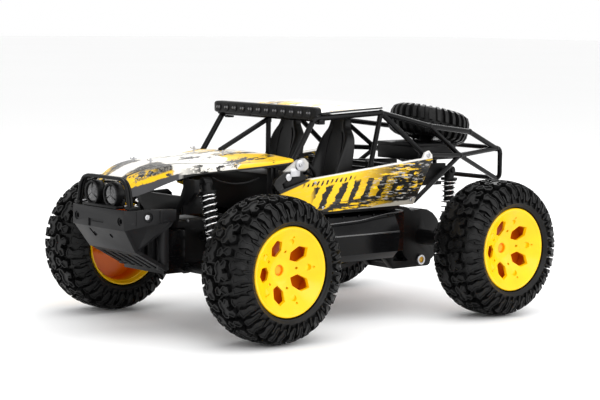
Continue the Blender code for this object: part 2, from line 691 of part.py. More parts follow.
def eye(start, end, outer, inner, body_solids, body_cuts, sides=12):
    """A hinge eye: adds its barrel to the solids and its bore to the cuts."""
    along = (Vector(end) - Vector(start)).normalized()
    body_solids.append(rod(start, end, outer, sides))
    body_cuts.append(rod(tuple(Vector(start) - along * 2), tuple(Vector(end) + along * 2), inner, 8))


def wishbone(name, side, z, thick, front, body):
    """A front arm: two inner eyes on the bulkhead's pins, two outer ears round the hub carrier. front is how far
    forward of the axle it reaches."""
    x = FRONT_X
    lower = z < AXLE_Z
    inner = ((-18.9, -14.6), (front - 4.3, front))
    outline = [(x + inner[0][0], ARM_INNER_Y), (x + inner[0][1], ARM_INNER_Y), (x + inner[0][1], 29),
               (x + inner[1][0], 29), (x + inner[1][0], ARM_INNER_Y), (x + front, ARM_INNER_Y), (x + front, 58),
               (x + 9.8, 69), (x + 9.8, ARM_OUTER_Y), (x + 5.6, ARM_OUTER_Y), (x + 5.6, 72.5), (x - 5.6, 72.5),
               (x - 5.6, ARM_OUTER_Y), (x - 9.8, ARM_OUTER_Y), (x - 9.8, 68), (x - 18.9, 32)]
    solids = [prism([(px, side * py) for px, py in outline], "Z", z - thick / 2, z + thick / 2)]
    cuts = []
    for low, high in inner:
        eye((x + low, side * ARM_INNER_Y, z), (x + high, side * ARM_INNER_Y, z), 3.9, 1.9, solids, cuts)
    for low, high in ((-9.8, -5.6), (5.6, 9.8)):
        eye((x + low, side * ARM_OUTER_Y, z), (x + high, side * ARM_OUTER_Y, z), 3.6, 1.9, solids, cuts)
    hole = [(x - 11.5, 34), (x - 3, 34), (x - 3, 62), (x - 7.5, 62)]
    cuts.append(prism([(px, side * py) for px, py in hole], "Z", z - 10, z + 10))
    if lower:
        y, foot = FRONT_SHOCK_FOOT
        sx = FRONT_SHOCK_X
        for low, high in ((-7.2, -4.8), (4.8, 7.2)):
            ear_low, ear_high = sorted((side * (y - 4), side * (y + 4)))
            solids.append(box((sx + low, ear_low, z), (sx + high, ear_high, foot + 3.2)))
        solids.append(rod((sx - 6, side * y, foot), (sx + 6, side * y, foot), 1.6))
    part(name, "black_plastic", solids, cuts, body=body)


def hub_carrier(name, side, body):
    """The C-shaped carrier: a web with the arm pins and two ears with the kingpin holes."""
    x = FRONT_X
    inner, outer = sorted((side * 76.0, side * 81.4))
    solids = [box((x - 5, inner, 44.6), (x + 5, outer, 75.4))]
    cuts = []
    low_y, high_y = sorted((side * 80, side * 92.4))
    for low, high in ((44.6, 49.6), (60.4, 65.4)):
        solids.append(box((x - 4.8, low_y, low), (x + 4.8, high_y, high)))
    cuts.append(rod((x, side * KINGPIN_Y, 40), (x, side * KINGPIN_Y, 70), 2.2, 8))
    for z in (LOWER_ARM_Z, UPPER_ARM_Z):
        solids.append(rod((x - 9.4, side * ARM_OUTER_Y, z), (x + 9.4, side * ARM_OUTER_Y, z), 1.5, 8))
    part(name, "black_plastic", solids, cuts, body=body)


def knuckle(name, side, body):
    """The steering knuckle: block, kingpins, stub axle and steering arm with its pin."""
    x = FRONT_X
    y = side * KINGPIN_Y
    low, high = sorted((side * 84.2, side * 92.6))
    arm_low, arm_high = sorted((side * 85.4, side * 90.6))
    pin_x = x - STEERING_ARM
    solids = [box((x - 5.5, low, 50), (x + 5.5, high, 60)),
              rod((x, y, 45.2), (x, y, 64.8), 1.8, 8),
              rod((x, side * 92, AXLE_Z), (x, side * 97.5, AXLE_Z), 4.5, 10),
              rod((x, side * 95, AXLE_Z), (x, side * 109.2, AXLE_Z), 2.5, 10),
              box((pin_x - 3, arm_low, 53.2), (x - 4, arm_high, 55.2)),
              rod((pin_x, y, 54.5), (pin_x, y, TIE_ROD_Z + 2.2), 1.2, 8)]
    part(name, "black_plastic", solids, body=body)


def steering_links():
    """The sliding rack and the two tie rods."""
    x = FRONT_X - STEERING_ARM + 0.5
    pin_y = 18.0
    body_empty("rack", (x, 0, 55.5))
    pins = [rod((x, y, 55.5), (x, y, TIE_ROD_Z + 2.2), 1.2, 8) for y in (pin_y, -pin_y)]
    part("steering_rack", "black_plastic", [box((x - 2.6, -21, 54.4), (x + 2.6, 21, 56.2)), *pins], body="rack")
    for label, side in SIDES.items():
        body = "tie_rod_" + label
        body_empty(body, (x, side * pin_y, TIE_ROD_Z), "rack")
        z0, z1 = TIE_ROD_Z - 1.1, TIE_ROD_Z + 1.1
        solids = [rod((x, side * (pin_y + 3), TIE_ROD_Z), (x, side * (KINGPIN_Y - 3), TIE_ROD_Z), 1.3, 8)]
        cuts = []
        for y in (pin_y, KINGPIN_Y):
            eye((x, side * y, z0), (x, side * y, z1), 4.1, 2.6, solids, cuts)
        part("tie_rod_" + label, "black_plastic", solids, cuts, body=body)


# ---------------------------------------------------------------- shocks


def shock(corner, top, foot, pin_axis, body_pivot, lengths):
    """A telescopic shock. lengths: eye half width, barrel length, rod length, spring seats from each end."""
    top, foot = Vector(top), Vector(foot)
    down = (foot - top).normalized()
    total = (foot - top).length
    half = 3.6
    across_pin = Vector(pin_axis) * half
    barrel_end, rod_top, upper_seat, lower_seat = lengths

    def at(distance):
        return tuple(top + down * distance)

    body, rod_body = "shock_" + corner, "shock_rod_" + corner
    body_empty(body, body_pivot)
    body_empty(rod_body, tuple(foot), body)
    solids = [rod(at(1.0), at(barrel_end), 4.2, 12), rod(at(upper_seat - 2), at(upper_seat), 7.0, 14)]
    cuts = [rod(at(rod_top - 10.5), at(barrel_end + 3), 2.4, 8)]
    eye(tuple(top - across_pin), tuple(top + across_pin), 3.9, 1.9, solids, cuts)
    part("shock_body_" + corner, "black_plastic", solids, cuts, body=body)

    solids = [rod(at(rod_top), at(total - 1), 1.9, 8),
              rod(at(total - lower_seat), at(total - lower_seat + 2), 7.0, 14),
              rod(at(total - lower_seat + 1), at(total - 1), 3.0, 8)]
    cuts = []
    eye(tuple(foot - across_pin), tuple(foot + across_pin), 4.2, 2.8, solids, cuts)
    part("shock_rod_part_" + corner, "black_plastic", solids, cuts, body=rod_body)

    def coil(bm):
        add_spring(bm, at(upper_seat + GAP), at(total - lower_seat - GAP), 6.0, 0.6, 6, 7)

    part("shock_spring_" + corner, "steel", [coil], body=body)


# ---------------------------------------------------------------- rear axle


def gear_outline(teeth, module, centre, turn):
    """A spur gear's outline as (x, z) points, with straight-sided teeth and room between them."""
    pitch = module * teeth / 2
    tip, root = pitch + 0.75 * module, pitch - 1.1 * module
    step = 2 * math.pi / teeth
    outline = []
    for tooth in range(teeth):
        middle = turn + tooth * step
        for radius, share in ((root, -0.30), (tip, -0.11), (tip, 0.11), (root, 0.30)):
            angle = middle + share * step
            outline.append((centre[0] + radius * math.cos(angle), centre[1] + radius * math.sin(angle)))
    return outline


def rear_axle_group():
    """The swinging axle housing with the motor, its pinion, and the axle with its gear."""
    body_empty("rear_swing", (SWING_PIVOT[0], 0, SWING_PIVOT[1]))
    x, z = REAR_X, AXLE_Z
    gear_tip = GEAR_MODULE * (GEAR_TEETH / 2 + 0.75)
    pinion_tip = GEAR_MODULE * (PINION_TEETH / 2 + 0.75)
    case_low, case_high = GEAR_Y[0] - 4.2, GEAR_Y[1] + 4.2
    room_low, room_high = GEAR_Y[0] - 1.2, GEAR_Y[1] + 1.2
    px, pz = SWING_PIVOT
    solids = [rod((x, case_low, z), (x, case_high, z), gear_tip + 4.4, 20),
              rod((MOTOR_X, case_low, MOTOR_Z), (MOTOR_X, case_high, MOTOR_Z), pinion_tip + 5.5, 14),
              rod((x, -74, z), (x, 74, z), 6.5, 12)]
    cuts = [rod((x, room_low, z), (x, room_high, z), gear_tip + 1.6, 20),
            rod((MOTOR_X, room_low, MOTOR_Z), (MOTOR_X, room_high, MOTOR_Z), pinion_tip + 2.0, 14),
            rod((x, -80, z), (x, 80, z), 3.4, 10),
            rod((MOTOR_X, case_low - 3, MOTOR_Z), (MOTOR_X, room_low + 1, MOTOR_Z), 2.4, 8)]
    pan = [(-134, 46), (-128.5, 31), (-126, 29.6), (-86, 29.6), (-74, 41.5), (-70, 42), (-64.5, 45), (-64.5, 51),
           (-70, 54), (-86, 52), (-86, 36), (-124, 34.5), (-129, 47)]
    for side in SIDES.values():
        low, high = sorted((side * 11.5, side * 17.0))
        solids.append(prism(pan, "Y", low, high))
        cheek = [(-134, 46), (-130, 60), (-112, 60), (-112, 48), (-100, 33), (-128, 33)]
        solids.append(prism(cheek, "Y", low, high))
        fx, fz = REAR_SHOCK_FOOT
        for near, far in ((-6.6, -4.6), (4.6, 6.6)):
            lug_low, lug_high = sorted((side * (REAR_SHOCK_Y + near), side * (REAR_SHOCK_Y + far)))
            lug = [(fx - 1, 54), (x, 50), (x + 4, 58), (fx + 3.5, fz + 3), (fx - 3.5, fz + 3)]
            solids.append(prism(lug, "Y", lug_low, lug_high))
        solids.append(rod((fx, side * (REAR_SHOCK_Y - 6), fz), (fx, side * (REAR_SHOCK_Y + 6), fz), 1.5))
    solids.append(box((-127, -16, 29.7), (-86, 16, 33.5)))
    solids.append(rod((px, -17.0, pz), (px, 17.0, pz), 5.2, 12))
    cuts.append(rod((px, -30, pz), (px, 30, pz), 2.5, 8))
    part("axle_housing", "black_plastic", solids, cuts, body="rear_swing")

    motor_end = case_low - GAP
    part("motor", "steel",
         [rod((MOTOR_X, motor_end, MOTOR_Z), (MOTOR_X, motor_end - 34, MOTOR_Z), 12.0, 20),
          rod((MOTOR_X, motor_end - 33, MOTOR_Z), (MOTOR_X, motor_end - 37, MOTOR_Z), 4.5, 10)],
         body="rear_swing")

    body_empty("pinion", (MOTOR_X, 10.5, MOTOR_Z), "rear_swing")
    facing = MOTOR_ANGLE + math.pi + math.pi / PINION_TEETH
    part("motor_pinion", "steel",
         [prism(gear_outline(PINION_TEETH, GEAR_MODULE, (MOTOR_X, MOTOR_Z), facing), "Y", *GEAR_Y),
          rod((MOTOR_X, motor_end + 2 * GAP, MOTOR_Z), (MOTOR_X, GEAR_Y[0] + 1, MOTOR_Z), 1.6, 8)], body="pinion")

    body_empty("rear_axle", (x, 0, z), "rear_swing")
    part("rear_axle", "steel",
         [prism(gear_outline(GEAR_TEETH, GEAR_MODULE, (x, z), MOTOR_ANGLE), "Y", *GEAR_Y),
          rod((x, -109.2, z), (x, 109.2, z), 2.5, 10),
          rod((x, -97.5, z), (x, -74 - GAP, z), 4.5, 10), rod((x, 74 + GAP, z), (x, 97.5, z), 4.5, 10)],
         body="rear_axle")


# ---------------------------------------------------------------- assembly


def build():
    clear_scene()
    make_materials()
    chassis_tub()
    power_switch()
    electronics()
    cockpit_tray()
    steering_wheel()
    front_bumper()
    lamp_guard()
    headlamps()
    hood()
    roof_panel()
    light_bar()
    windscreen_brace()
    rear_frame()
    spare_wheel()
    front_tower()
    rear_tower()
    steering_links()
    rear_axle_group()
    for label, side in SIDES.items():
        seat("seat_" + label, side)
        side_panel("side_panel_" + label, side)
        cage_side("cage_" + label, side)

        lower, upper, carrier = "lower_arm_" + label, "upper_arm_" + label, "hub_carrier_" + label
        steer, spin = "knuckle_" + label, "front_wheel_" + label
        body_empty(lower, (FRONT_X, side * ARM_INNER_Y, LOWER_ARM_Z))
        body_empty(upper, (FRONT_X, side * ARM_INNER_Y, UPPER_ARM_Z))
        body_empty(carrier, (FRONT_X, side * ARM_OUTER_Y, LOWER_ARM_Z), lower)
        body_empty(steer, (FRONT_X, side * KINGPIN_Y, AXLE_Z), carrier)
        body_empty(spin, (FRONT_X, side * WHEEL_Y, AXLE_Z), steer)
        wishbone(lower, side, LOWER_ARM_Z, 4.0, 20.0, lower)
        wishbone(upper, side, UPPER_ARM_Z, 3.2, 3.3, upper)
        hub_carrier(carrier, side, carrier)
        knuckle(steer, side, steer)
        wheel("front_" + label, FRONT_X, side, spin)
        wheel("rear_" + label, REAR_X, side, "rear_axle")

        front_top = (FRONT_SHOCK_X, side * FRONT_SHOCK_TOP[0], FRONT_SHOCK_TOP[1])
        front_foot = (FRONT_SHOCK_X, side * FRONT_SHOCK_FOOT[0], FRONT_SHOCK_FOOT[1])
        shock("front_" + label, front_top, front_foot, (1, 0, 0), front_top, (36.0, 21.0, 9.0, 11.0))
        rear_top = (REAR_SHOCK_TOP[0], side * REAR_SHOCK_Y, REAR_SHOCK_TOP[1])
        rear_foot = (REAR_SHOCK_FOOT[0], side * REAR_SHOCK_Y, REAR_SHOCK_FOOT[1])
        shock("rear_" + label, rear_top, rear_foot, (0, 1, 0), rear_top, (27.0, 16.0, 8.0, 8.0))
    bpy.context.view_layer.update()


build()
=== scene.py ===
import math

import bmesh
import bpy
from mathutils import Matrix, Vector


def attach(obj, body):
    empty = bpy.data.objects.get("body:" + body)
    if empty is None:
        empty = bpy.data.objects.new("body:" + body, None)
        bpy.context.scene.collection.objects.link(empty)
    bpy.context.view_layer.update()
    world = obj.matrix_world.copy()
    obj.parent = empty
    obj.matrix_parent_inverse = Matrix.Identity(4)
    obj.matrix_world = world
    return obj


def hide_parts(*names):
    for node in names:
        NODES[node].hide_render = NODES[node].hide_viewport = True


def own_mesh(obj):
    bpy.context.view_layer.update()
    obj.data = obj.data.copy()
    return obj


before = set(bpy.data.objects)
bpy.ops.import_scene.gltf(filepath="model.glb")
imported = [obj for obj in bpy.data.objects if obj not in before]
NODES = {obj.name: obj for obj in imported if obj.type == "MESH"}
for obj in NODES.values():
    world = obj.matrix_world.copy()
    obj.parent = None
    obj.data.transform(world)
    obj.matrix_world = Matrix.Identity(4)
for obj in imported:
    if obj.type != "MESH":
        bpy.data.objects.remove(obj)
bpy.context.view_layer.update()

MM = 0.001
PER_METRE = 1000.0
SIDES = {"left": 1, "right": -1}
STATION = 4.85      # x counts from mid wheelbase, which lies this far behind the frame's origin
MERGE = 0.00001     # points closer than this are one

FRONT_AXLE, REAR_AXLE, WHEEL_Y, AXLE_Z = 117.0, -117.0, 104.0, 55.0


def at(x, y, z):
    """A point given as station, left and height in millimetres, in the frame's metres."""
    return Vector(((x - STATION) * MM, y * MM, z * MM))


# ---------------------------------------------------------------- shader expressions


class Wire:
    """An output socket that can be used in a Python expression."""

    def __init__(self, look, socket):
        self.look, self.socket = look, socket

    def _math(self, operation, *others):
        return self.look.node("Math", {"operation": operation}, [self, *others])

    def __add__(self, other):
        return self._math("ADD", other)

    def __mul__(self, other):
        return self._math("MULTIPLY", other)

    def __sub__(self, other):
        return self._math("SUBTRACT", other)

    def __rsub__(self, other):
        return self.look.node("Math", {"operation": "SUBTRACT"}, [other, self])

    def __truediv__(self, other):
        return self._math("DIVIDE", other)

    __radd__ = __add__
    __rmul__ = __mul__

    def above(self, edge, soft=0.02):
        """0 below edge and 1 above it, with a soft step."""
        return ((self - (edge - soft)) / (2 * soft)).clamped()

    def below(self, edge, soft=0.02):
        return 1.0 - self.above(edge, soft)

    def clamped(self):
        return self.look.node("Math", {"operation": "MULTIPLY", "use_clamp": True}, [self, 1.0])

    def absolute(self):
        return self._math("ABSOLUTE")

    def least(self, other):
        return self._math("MINIMUM", other)

    def most(self, other):
        return self._math("MAXIMUM", other)

    def cycle(self, length):
        """How far along its own length the value is, from 0 to 1."""
        return (self / length)._math("FRACT")


class Look:
    """A material under construction."""

    def __init__(self, name):
        self.material = bpy.data.materials.new(name)
        self.material.use_nodes = True
        self.tree = self.material.node_tree
        self.shader = self.tree.nodes["Principled BSDF"]
        self.place = self.node("TexCoord", {}, [], "Object")

    def node(self, kind, settings, values, out=0):
        made = self.tree.nodes.new("ShaderNode" + kind)
        for key, value in settings.items():
            setattr(made, key, value)
        pairs = values.items() if isinstance(values, dict) else enumerate(values)
        for key, value in pairs:
            self.feed(made.inputs[key], value)
        return Wire(self, made.outputs[out])

    def feed(self, socket, value):
        if isinstance(value, Wire):
            self.tree.links.new(value.socket, socket)
        elif isinstance(value, tuple) and socket.type == "RGBA":
            socket.default_value = (*value[:3], 1.0)
        else:
            socket.default_value = value

    def axes(self):
        """The object coordinates in millimetres, with x counted from mid wheelbase."""
        parts = [self.node("SeparateXYZ", {}, [self.place], axis) * PER_METRE for axis in "XYZ"]
        return parts[0] + STATION, parts[1], parts[2]

    def stretched(self, scale):
        return self.node("VectorMath", {"operation": "MULTIPLY"}, [self.place, scale])

    def noise(self, size, detail=3.0, stretch=(1.0, 1.0, 1.0), rough=0.5, seed=0.0):
        """Noise whose features are about size millimetres."""
        vector = self.stretched(tuple(s * PER_METRE / size for s in stretch))
        if seed:
            vector = self.node("VectorMath", {"operation": "ADD"}, [vector, (seed, seed * 0.7, seed * 1.3)])
        return self.node("TexNoise", {"noise_dimensions": "3D"},
                         {"Vector": vector, "Scale": 1.0, "Detail": detail, "Roughness": rough})

    def torn(self, size, detail, along, seed, rough=0.7):
        """Noise drawn out in the direction of travel."""
        return self.noise(size, detail, (along, 1.0, 1.0), rough, seed)

    def cells(self, size, feature="F1"):
        vector = self.stretched((PER_METRE / size,) * 3)
        return self.node("TexVoronoi", {"feature": feature}, {"Vector": vector, "Scale": 1.0}, "Distance")

    def mix(self, share, first, second):
        made = self.tree.nodes.new("ShaderNodeMix")
        made.data_type = "RGBA"
        self.feed(made.inputs[0], share)
        self.feed(made.inputs[6], first)
        self.feed(made.inputs[7], second)
        return Wire(self, made.outputs[2])

    def over(self, colour, *layers):
        """The colour under layers of (share, paint), the last on top."""
        for share, paint in layers:
            colour = self.mix(share, colour, paint)
        return colour

    def bump(self, height, strength, distance_mm):
        values = {"Strength": strength, "Distance": distance_mm * MM, "Height": height}
        return self.node("Bump", {}, values, "Normal")

    def done(self, **inputs):
        for key, value in inputs.items():
            self.feed(self.shader.inputs[key.replace("_", " ")], value)
        return self.material


# ---------------------------------------------------------------- finishes


def plastic(name, dark, light, rough, grain_mm=0.6, grain=0.25, coat=0.0, scuffs=0.0, shine=0.35):
    """Moulded plastic: fine grain, slow change of tone, faint scuffs that are lighter and duller."""
    look = Look(name)
    drift = look.noise(26.0, 3.0)
    speck = look.noise(grain_mm, 2.0)
    scratch = look.noise(1.4, 3.0, (0.12, 1.0, 1.0), 0.7, 3.1).above(0.66, 0.05)
    wear = (scratch * look.noise(14.0, 2.0, seed=8.0).above(0.55, 0.08) * scuffs).clamped()
    colour = look.mix(drift.above(0.5, 0.25), dark, light)
    colour = look.mix(wear, colour, tuple(0.6 * c + 0.03 for c in light))
    return look.done(Base_Color=colour, Roughness=drift * 0.16 + wear * 0.2 + (rough - 0.08),
                     Specular_IOR_Level=shine, Coat_Weight=coat, Coat_Roughness=0.08,
                     Normal=look.bump(speck, grain, 0.05))


def rubber():
    """Moulded rubber: dusty in patches, with fine flow marks."""
    look = Look("tyre rubber")
    dust = look.noise(9.0, 4.0)
    grain = look.noise(0.5, 3.0)
    colour = look.mix(dust.above(0.52, 0.18), (0.002, 0.002, 0.002), (0.007, 0.007, 0.0073))
    return look.done(Base_Color=colour, Roughness=dust * 0.2 + 0.32, Specular_IOR_Level=0.2,
                     Normal=look.bump(grain, 0.3, 0.08))


def rim_plastic():
    """Glossy yellow plastic, painted orange where it lies deep behind the face: painted shade and painted
    yellow bounce light.
    """
    look = Look("rim yellow plastic")
    _, y, _ = look.axes()
    depth = y.absolute()
    # Painted shade and bounce light: orange over the web, the inside of the barrel and the hub cap, which lie
    # deep in the wheel
    deep = depth.below(110.4, 0.8) * depth.above(92.0, 5.0)
    cloud = look.noise(12.0, 3.0)
    ripple = look.noise(1.2, 2.0)
    yellow = look.mix(cloud.above(0.5, 0.3), (0.87, 0.49, 0.0), (0.95, 0.57, 0.0))
    colour = look.mix(deep, yellow, (0.85, 0.17, 0.0))
    return look.done(Base_Color=colour, Roughness=cloud * 0.12 + 0.24, Specular_IOR_Level=0.3,
                     Coat_Weight=0.1, Coat_Roughness=0.1, Normal=look.bump(ripple, 0.06, 0.05))


def chrome_wire():
    look = Look("bright plated wire")
    haze = look.noise(2.5, 3.0)
    return look.done(Base_Color=look.mix(haze, (0.66, 0.66, 0.67), (0.86, 0.86, 0.87)), Metallic=1.0,
                     Roughness=haze * 0.14 + 0.1, Normal=look.bump(look.noise(0.5), 0.1, 0.02))


def machined_steel(name="machined steel"):
    look = Look(name)
    turned = look.noise(0.5, 2.0, (1.0, 0.1, 1.0))
    haze = look.noise(8.0, 3.0)
    return look.done(Base_Color=look.mix(haze, (0.36, 0.36, 0.38), (0.60, 0.60, 0.61)), Metallic=1.0,
                     Roughness=turned * 0.15 + 0.24, Normal=look.bump(turned, 0.2, 0.03))


WHITE, SILVER = (0.83, 0.80, 0.73), (0.42, 0.41, 0.40)
YELLOW, GOLD, BLACK = (0.88, 0.53, 0.004), (0.50, 0.30, 0.015), (0.006, 0.006, 0.0055)


def worn(look, size, seed):
    """Streaks of chipped print, long in the direction of travel."""
    return look.torn(size, 6.0, 0.35, seed, 0.72)


def printed(look, colour, roughness, coat_rough=0.1, ripple=0.05):
    """The thin clear film over every graphic."""
    return look.done(Base_Color=colour, Roughness=roughness + 0.24, Specular_IOR_Level=0.25, Coat_Weight=0.08,
                     Coat_Roughness=coat_rough, Normal=look.bump(look.noise(0.8), ripple, 0.04))


def door_print():
    """Door graphic: a yellow field with torn slanted strokes, breaking up into long streaks toward the rear,
    under a bare worn edge."""
    look = Look("door panel print")
    x, y, z = look.axes()
    # The panel's edges run down toward the front
    fall = z + x * 0.0895
    rough = worn(look, 5.0, 2.0)
    field = look.mix(worn(look, 11.0, 1.0).above(0.62, 0.02), YELLOW, (0.94, 0.62, 0.03))
    slant = (x + z * 0.55 + rough * 13.0).cycle(14.0)
    height = fall + worn(look, 4.0, 5.0) * 9.0
    strokes = slant.above(0.53, 0.02) * height.below(116.5, 0.5) * height.above(99.5, 0.5)
    strokes = strokes * x.below(46.0, 3.0)
    ticks = (x + z * 0.6 + rough * 3.0).cycle(4.6).above(0.58, 0.03)
    ticks = ticks * height.below(121.0, 0.4) * height.above(117.8, 0.4)
    ticks = ticks * x.above(2.0, 3.0) * x.below(56.0, 3.0)
    rear = x.below(-18.0, 24.0)
    streaks = look.torn(2.4, 6.0, 0.13, 7.0)
    dark = strokes.most(ticks).most(streaks.above(0.44, 0.015) * rear)
    under = fall.below(97.5, 0.4) * streaks.below(0.53, 0.02)
    scrape = look.torn(1.6, 6.0, 0.16, 13.0).above(0.585, 0.015)
    gilt = look.torn(1.9, 5.0, 0.14, 33.0).above(0.62, 0.015)
    lower = (fall + worn(look, 6.0, 19.0) * 5.0).below(91.9, 0.4) * x.below(40.0, 12.0)
    fore = x.above(49.0, 1.5) * (z + x * 0.30).above(128.5, 0.5)
    bare = fore * z.above(122.0, 0.6) * worn(look, 3.0, 27.0).above(0.36, 0.04)
    edge = fall.above(119.0, 0.3) * worn(look, 5.0, 23.0).above(0.30, 0.04) * x.below(48.0, 2.0)
    colour = look.over(field, (dark.most(under).clamped(), BLACK), (scrape * (rear * 0.85 + 0.1), SILVER),
                       (gilt * rear, GOLD), (lower, (0.30, 0.28, 0.24)), (fore, BLACK),
                       (bare, (0.45, 0.44, 0.42)), (edge, (0.70, 0.68, 0.64)))
    return printed(look, colour, look.noise(8.0) * 0.2, 0.12, 0.06)


def hood_print():
    """Bonnet graphic: cream crown, torn yellow and black toward the screen, lined edges, mottled nose."""
    look = Look("hood print")
    x, y, z = look.axes()
    side = y.absolute()
    torn = look.torn(13.0, 6.0, 0.55, 2.0)
    fine = look.torn(4.0, 5.0, 0.6, 5.0)
    # How far in from the bonnet's side edge, which tapers in two straight runs
    inset = (91.5 - x * 0.41).least(75.9 - x * 0.2) - side
    yellow = (x + torn * 46.0).below(128.0, 1.0) * inset.below(34.0, 3.0)
    black = look.torn(11.0, 6.0, 0.42, 14.0, 0.72).above(0.545, 0.01) * x.below(140.0, 8.0)
    patch = look.torn(7.0, 6.0, 0.35, 24.0).above(0.60, 0.01) * x.below(110.0, 8.0)
    lines = inset.above(4.6, 0.2) * inset.below(6.4, 0.2) * x.above(92.0, 14.0)
    rolled = (z + x * 0.1).below(135.0, 0.2) * x.below(147.0, 2.0)
    nose = (x + fine * 8.0).above(157.0, 1.0) * (side + fine * 8.0).above(13.0, 1.0)
    mottled = look.mix(look.noise(1.6, 3.0).above(0.5, 0.08), (0.012, 0.012, 0.013), (0.17, 0.16, 0.14))
    splash = look.torn(5.0, 6.0, 0.6, 31.0).above(0.49, 0.02) * nose * (x + side * 0.9).above(192.0, 5.0)
    low = z + (x - 170.0) * 0.27 + fine * 2.5
    flash = nose * low.below(121.0, 0.8) * low.above(116.9, 0.5) * fine.above(0.43, 0.03)
    ridge = inset.above(3.0, 0.3) * inset.below(5.0, 0.3) * x.above(146.0, 4.0)
    skirt = low.below(116.9, 0.3) * x.above(147.0, 2.0)
    colour = look.over(WHITE, (yellow, YELLOW), (black, BLACK), (patch, YELLOW),
                       (lines * fine.above(0.38, 0.03), BLACK), (rolled, BLACK), (nose, mottled),
                       (splash, YELLOW), (flash, YELLOW), (ridge, BLACK), (skirt, (0.055, 0.055, 0.058)))
    return printed(look, colour, fine * 0.15)


def roof_print():
    look = Look("roof print")
    x, y, z = look.axes()
    torn = look.torn(12.0, 6.0, 0.5, 6.0)
    front = x.above(-2.0, 14.0)
    black = look.torn(9.0, 6.0, 0.35, 15.0).above(0.53, 0.012)
    colour = look.over(WHITE, (torn.above(0.50, 0.012) * front, YELLOW), (black * front, BLACK),
                       (y.absolute().above(57.3, 0.3), BLACK))
    return printed(look, colour, torn * 0.15)


def faceted_lamp():
    """The dark reflector behind a lamp glass, broken into small facets."""
    look = Look("faceted lamp reflector")
    facet = look.cells(2.6)
    tone = look.noise(3.0, 2.0)
    colour = look.mix(facet.above(0.45, 0.2), (0.002, 0.002, 0.0025), (0.035, 0.035, 0.038))
    return look.done(Base_Color=colour, Metallic=0.4, Roughness=tone * 0.2 + 0.18, Coat_Weight=1.0,
                     Coat_Roughness=0.03, Normal=look.bump(facet, 0.9, 0.9))


def clear_lens():
    look = Look("clear lens")
    swirl = look.cells(1.1)
    colour = look.mix(swirl, (0.008, 0.008, 0.009), (0.10, 0.10, 0.11))
    return look.done(Base_Color=colour, Roughness=swirl * 0.1 + 0.05, Coat_Weight=1.0, Coat_Roughness=0.02,
                     Normal=look.bump(swirl, 0.5, 0.4))


def seat_plastic():
    look = Look("seat satin plastic")
    weave = look.noise(0.7, 2.0)
    drift = look.noise(16.0, 3.0)
    colour = look.mix(drift.above(0.5, 0.2), (0.003, 0.003, 0.0033), (0.007, 0.007, 0.0073))
    return look.done(Base_Color=colour, Roughness=drift * 0.15 + 0.3, Specular_IOR_Level=0.18,
                     Normal=look.bump(weave, 0.3, 0.06))


def circuit():
    look = Look("circuit board")
    track = look.cells(3.0, "DISTANCE_TO_EDGE").below(0.06, 0.02)
    colour = look.mix(track, (0.008, 0.09, 0.03), (0.03, 0.22, 0.08))
    return look.done(Base_Color=colour, Roughness=track * 0.2 + 0.35, Normal=look.bump(track, 0.2, 0.05))


def wrap_film():
    look = Look("battery shrink wrap")
    crease = look.noise(7.0, 4.0, (0.3, 1.0, 1.0))
    colour = look.mix(crease, (0.01, 0.05, 0.20), (0.03, 0.12, 0.42))
    return look.done(Base_Color=colour, Roughness=crease * 0.2 + 0.15, Coat_Weight=0.4,
                     Normal=look.bump(crease, 0.5, 0.5))


# Each finish has the slot it belongs to and its material
FINISH = {
    "rubber": ("tyre", rubber()),
    "rim": ("rim_yellow", rim_plastic()),
    "gloss": ("cage_black", plastic("gloss black plastic", (0.0015, 0.0015, 0.0018), (0.004, 0.004, 0.0043),
                                    0.2, 1.0, 0.08, 0.0, 0.3, 0.13)),
    "satin": ("plastic_black", plastic("satin black nylon", (0.0025, 0.0025, 0.0028), (0.006, 0.006, 0.0063),
                                       0.38, 0.5, 0.3, 0.0, 0.4, 0.14)),
    "bead": ("cage_black", plastic("polished black bead", (0.004, 0.004, 0.0045), (0.010, 0.010, 0.0105),
                                   0.14, 1.0, 0.05, 1.0, 0.0, 0.6)),
    "charcoal": ("bumper_grey", plastic("charcoal bumper plastic", (0.006, 0.006, 0.0066),
                                        (0.011, 0.011, 0.0118), 0.42, 0.45, 0.4, 0.0, 0.6, 0.2)),
    "spring": ("spring_chrome", chrome_wire()),
    "steel": ("steel", machined_steel()),
    "screw": ("screw_steel", machined_steel("plated screw")),
    "door": ("body_panel", door_print()),
    "hood": ("body_panel", hood_print()),
    "roof": ("body_panel", roof_print()),
    "reflector": ("lamp_dark", faceted_lamp()),
    "lens": ("lens_clear", clear_lens()),
    "seat": ("seat_black", seat_plastic()),
    "board": ("circuit_board", circuit()),
    "wrap": ("battery_wrap", wrap_film()),
}


# ---------------------------------------------------------------- making pieces


def placed(name, data):
    """A new object in the scene."""
    made = bpy.data.objects.new(name, data)
    bpy.context.collection.objects.link(made)
    return made


def facing(direction):
    """The turn that brings the Z axis onto a direction."""
    return direction.to_track_quat("Z", "Y")


def clear_selection():
    if bpy.context.object and bpy.context.object.mode != "OBJECT":
        bpy.ops.object.mode_set(mode="OBJECT")
    bpy.ops.object.select_all(action="DESELECT")


def pick(obj, *others):
    """Select only these, the first of them active."""
    clear_selection()
    for each in (obj, *others):
        each.select_set(True)
    bpy.context.view_layer.objects.active = obj
    return obj


def settle(obj):
    """Put the object's place into its mesh."""
    pick(obj)
    bpy.ops.object.transform_apply(location=True, rotation=True, scale=True)
    return obj


def apply_all(obj):
    """Put every modifier into the mesh."""
    pick(obj)
    for modifier in list(obj.modifiers):
        bpy.ops.object.modifier_apply(modifier=modifier.name)
    return obj


def joined(pieces):
    """All the pieces as one object, in the first one's place."""
    pick(pieces[0], *pieces[1:])
    if len(pieces) > 1:
        bpy.ops.object.join()
    return bpy.context.view_layer.objects.active


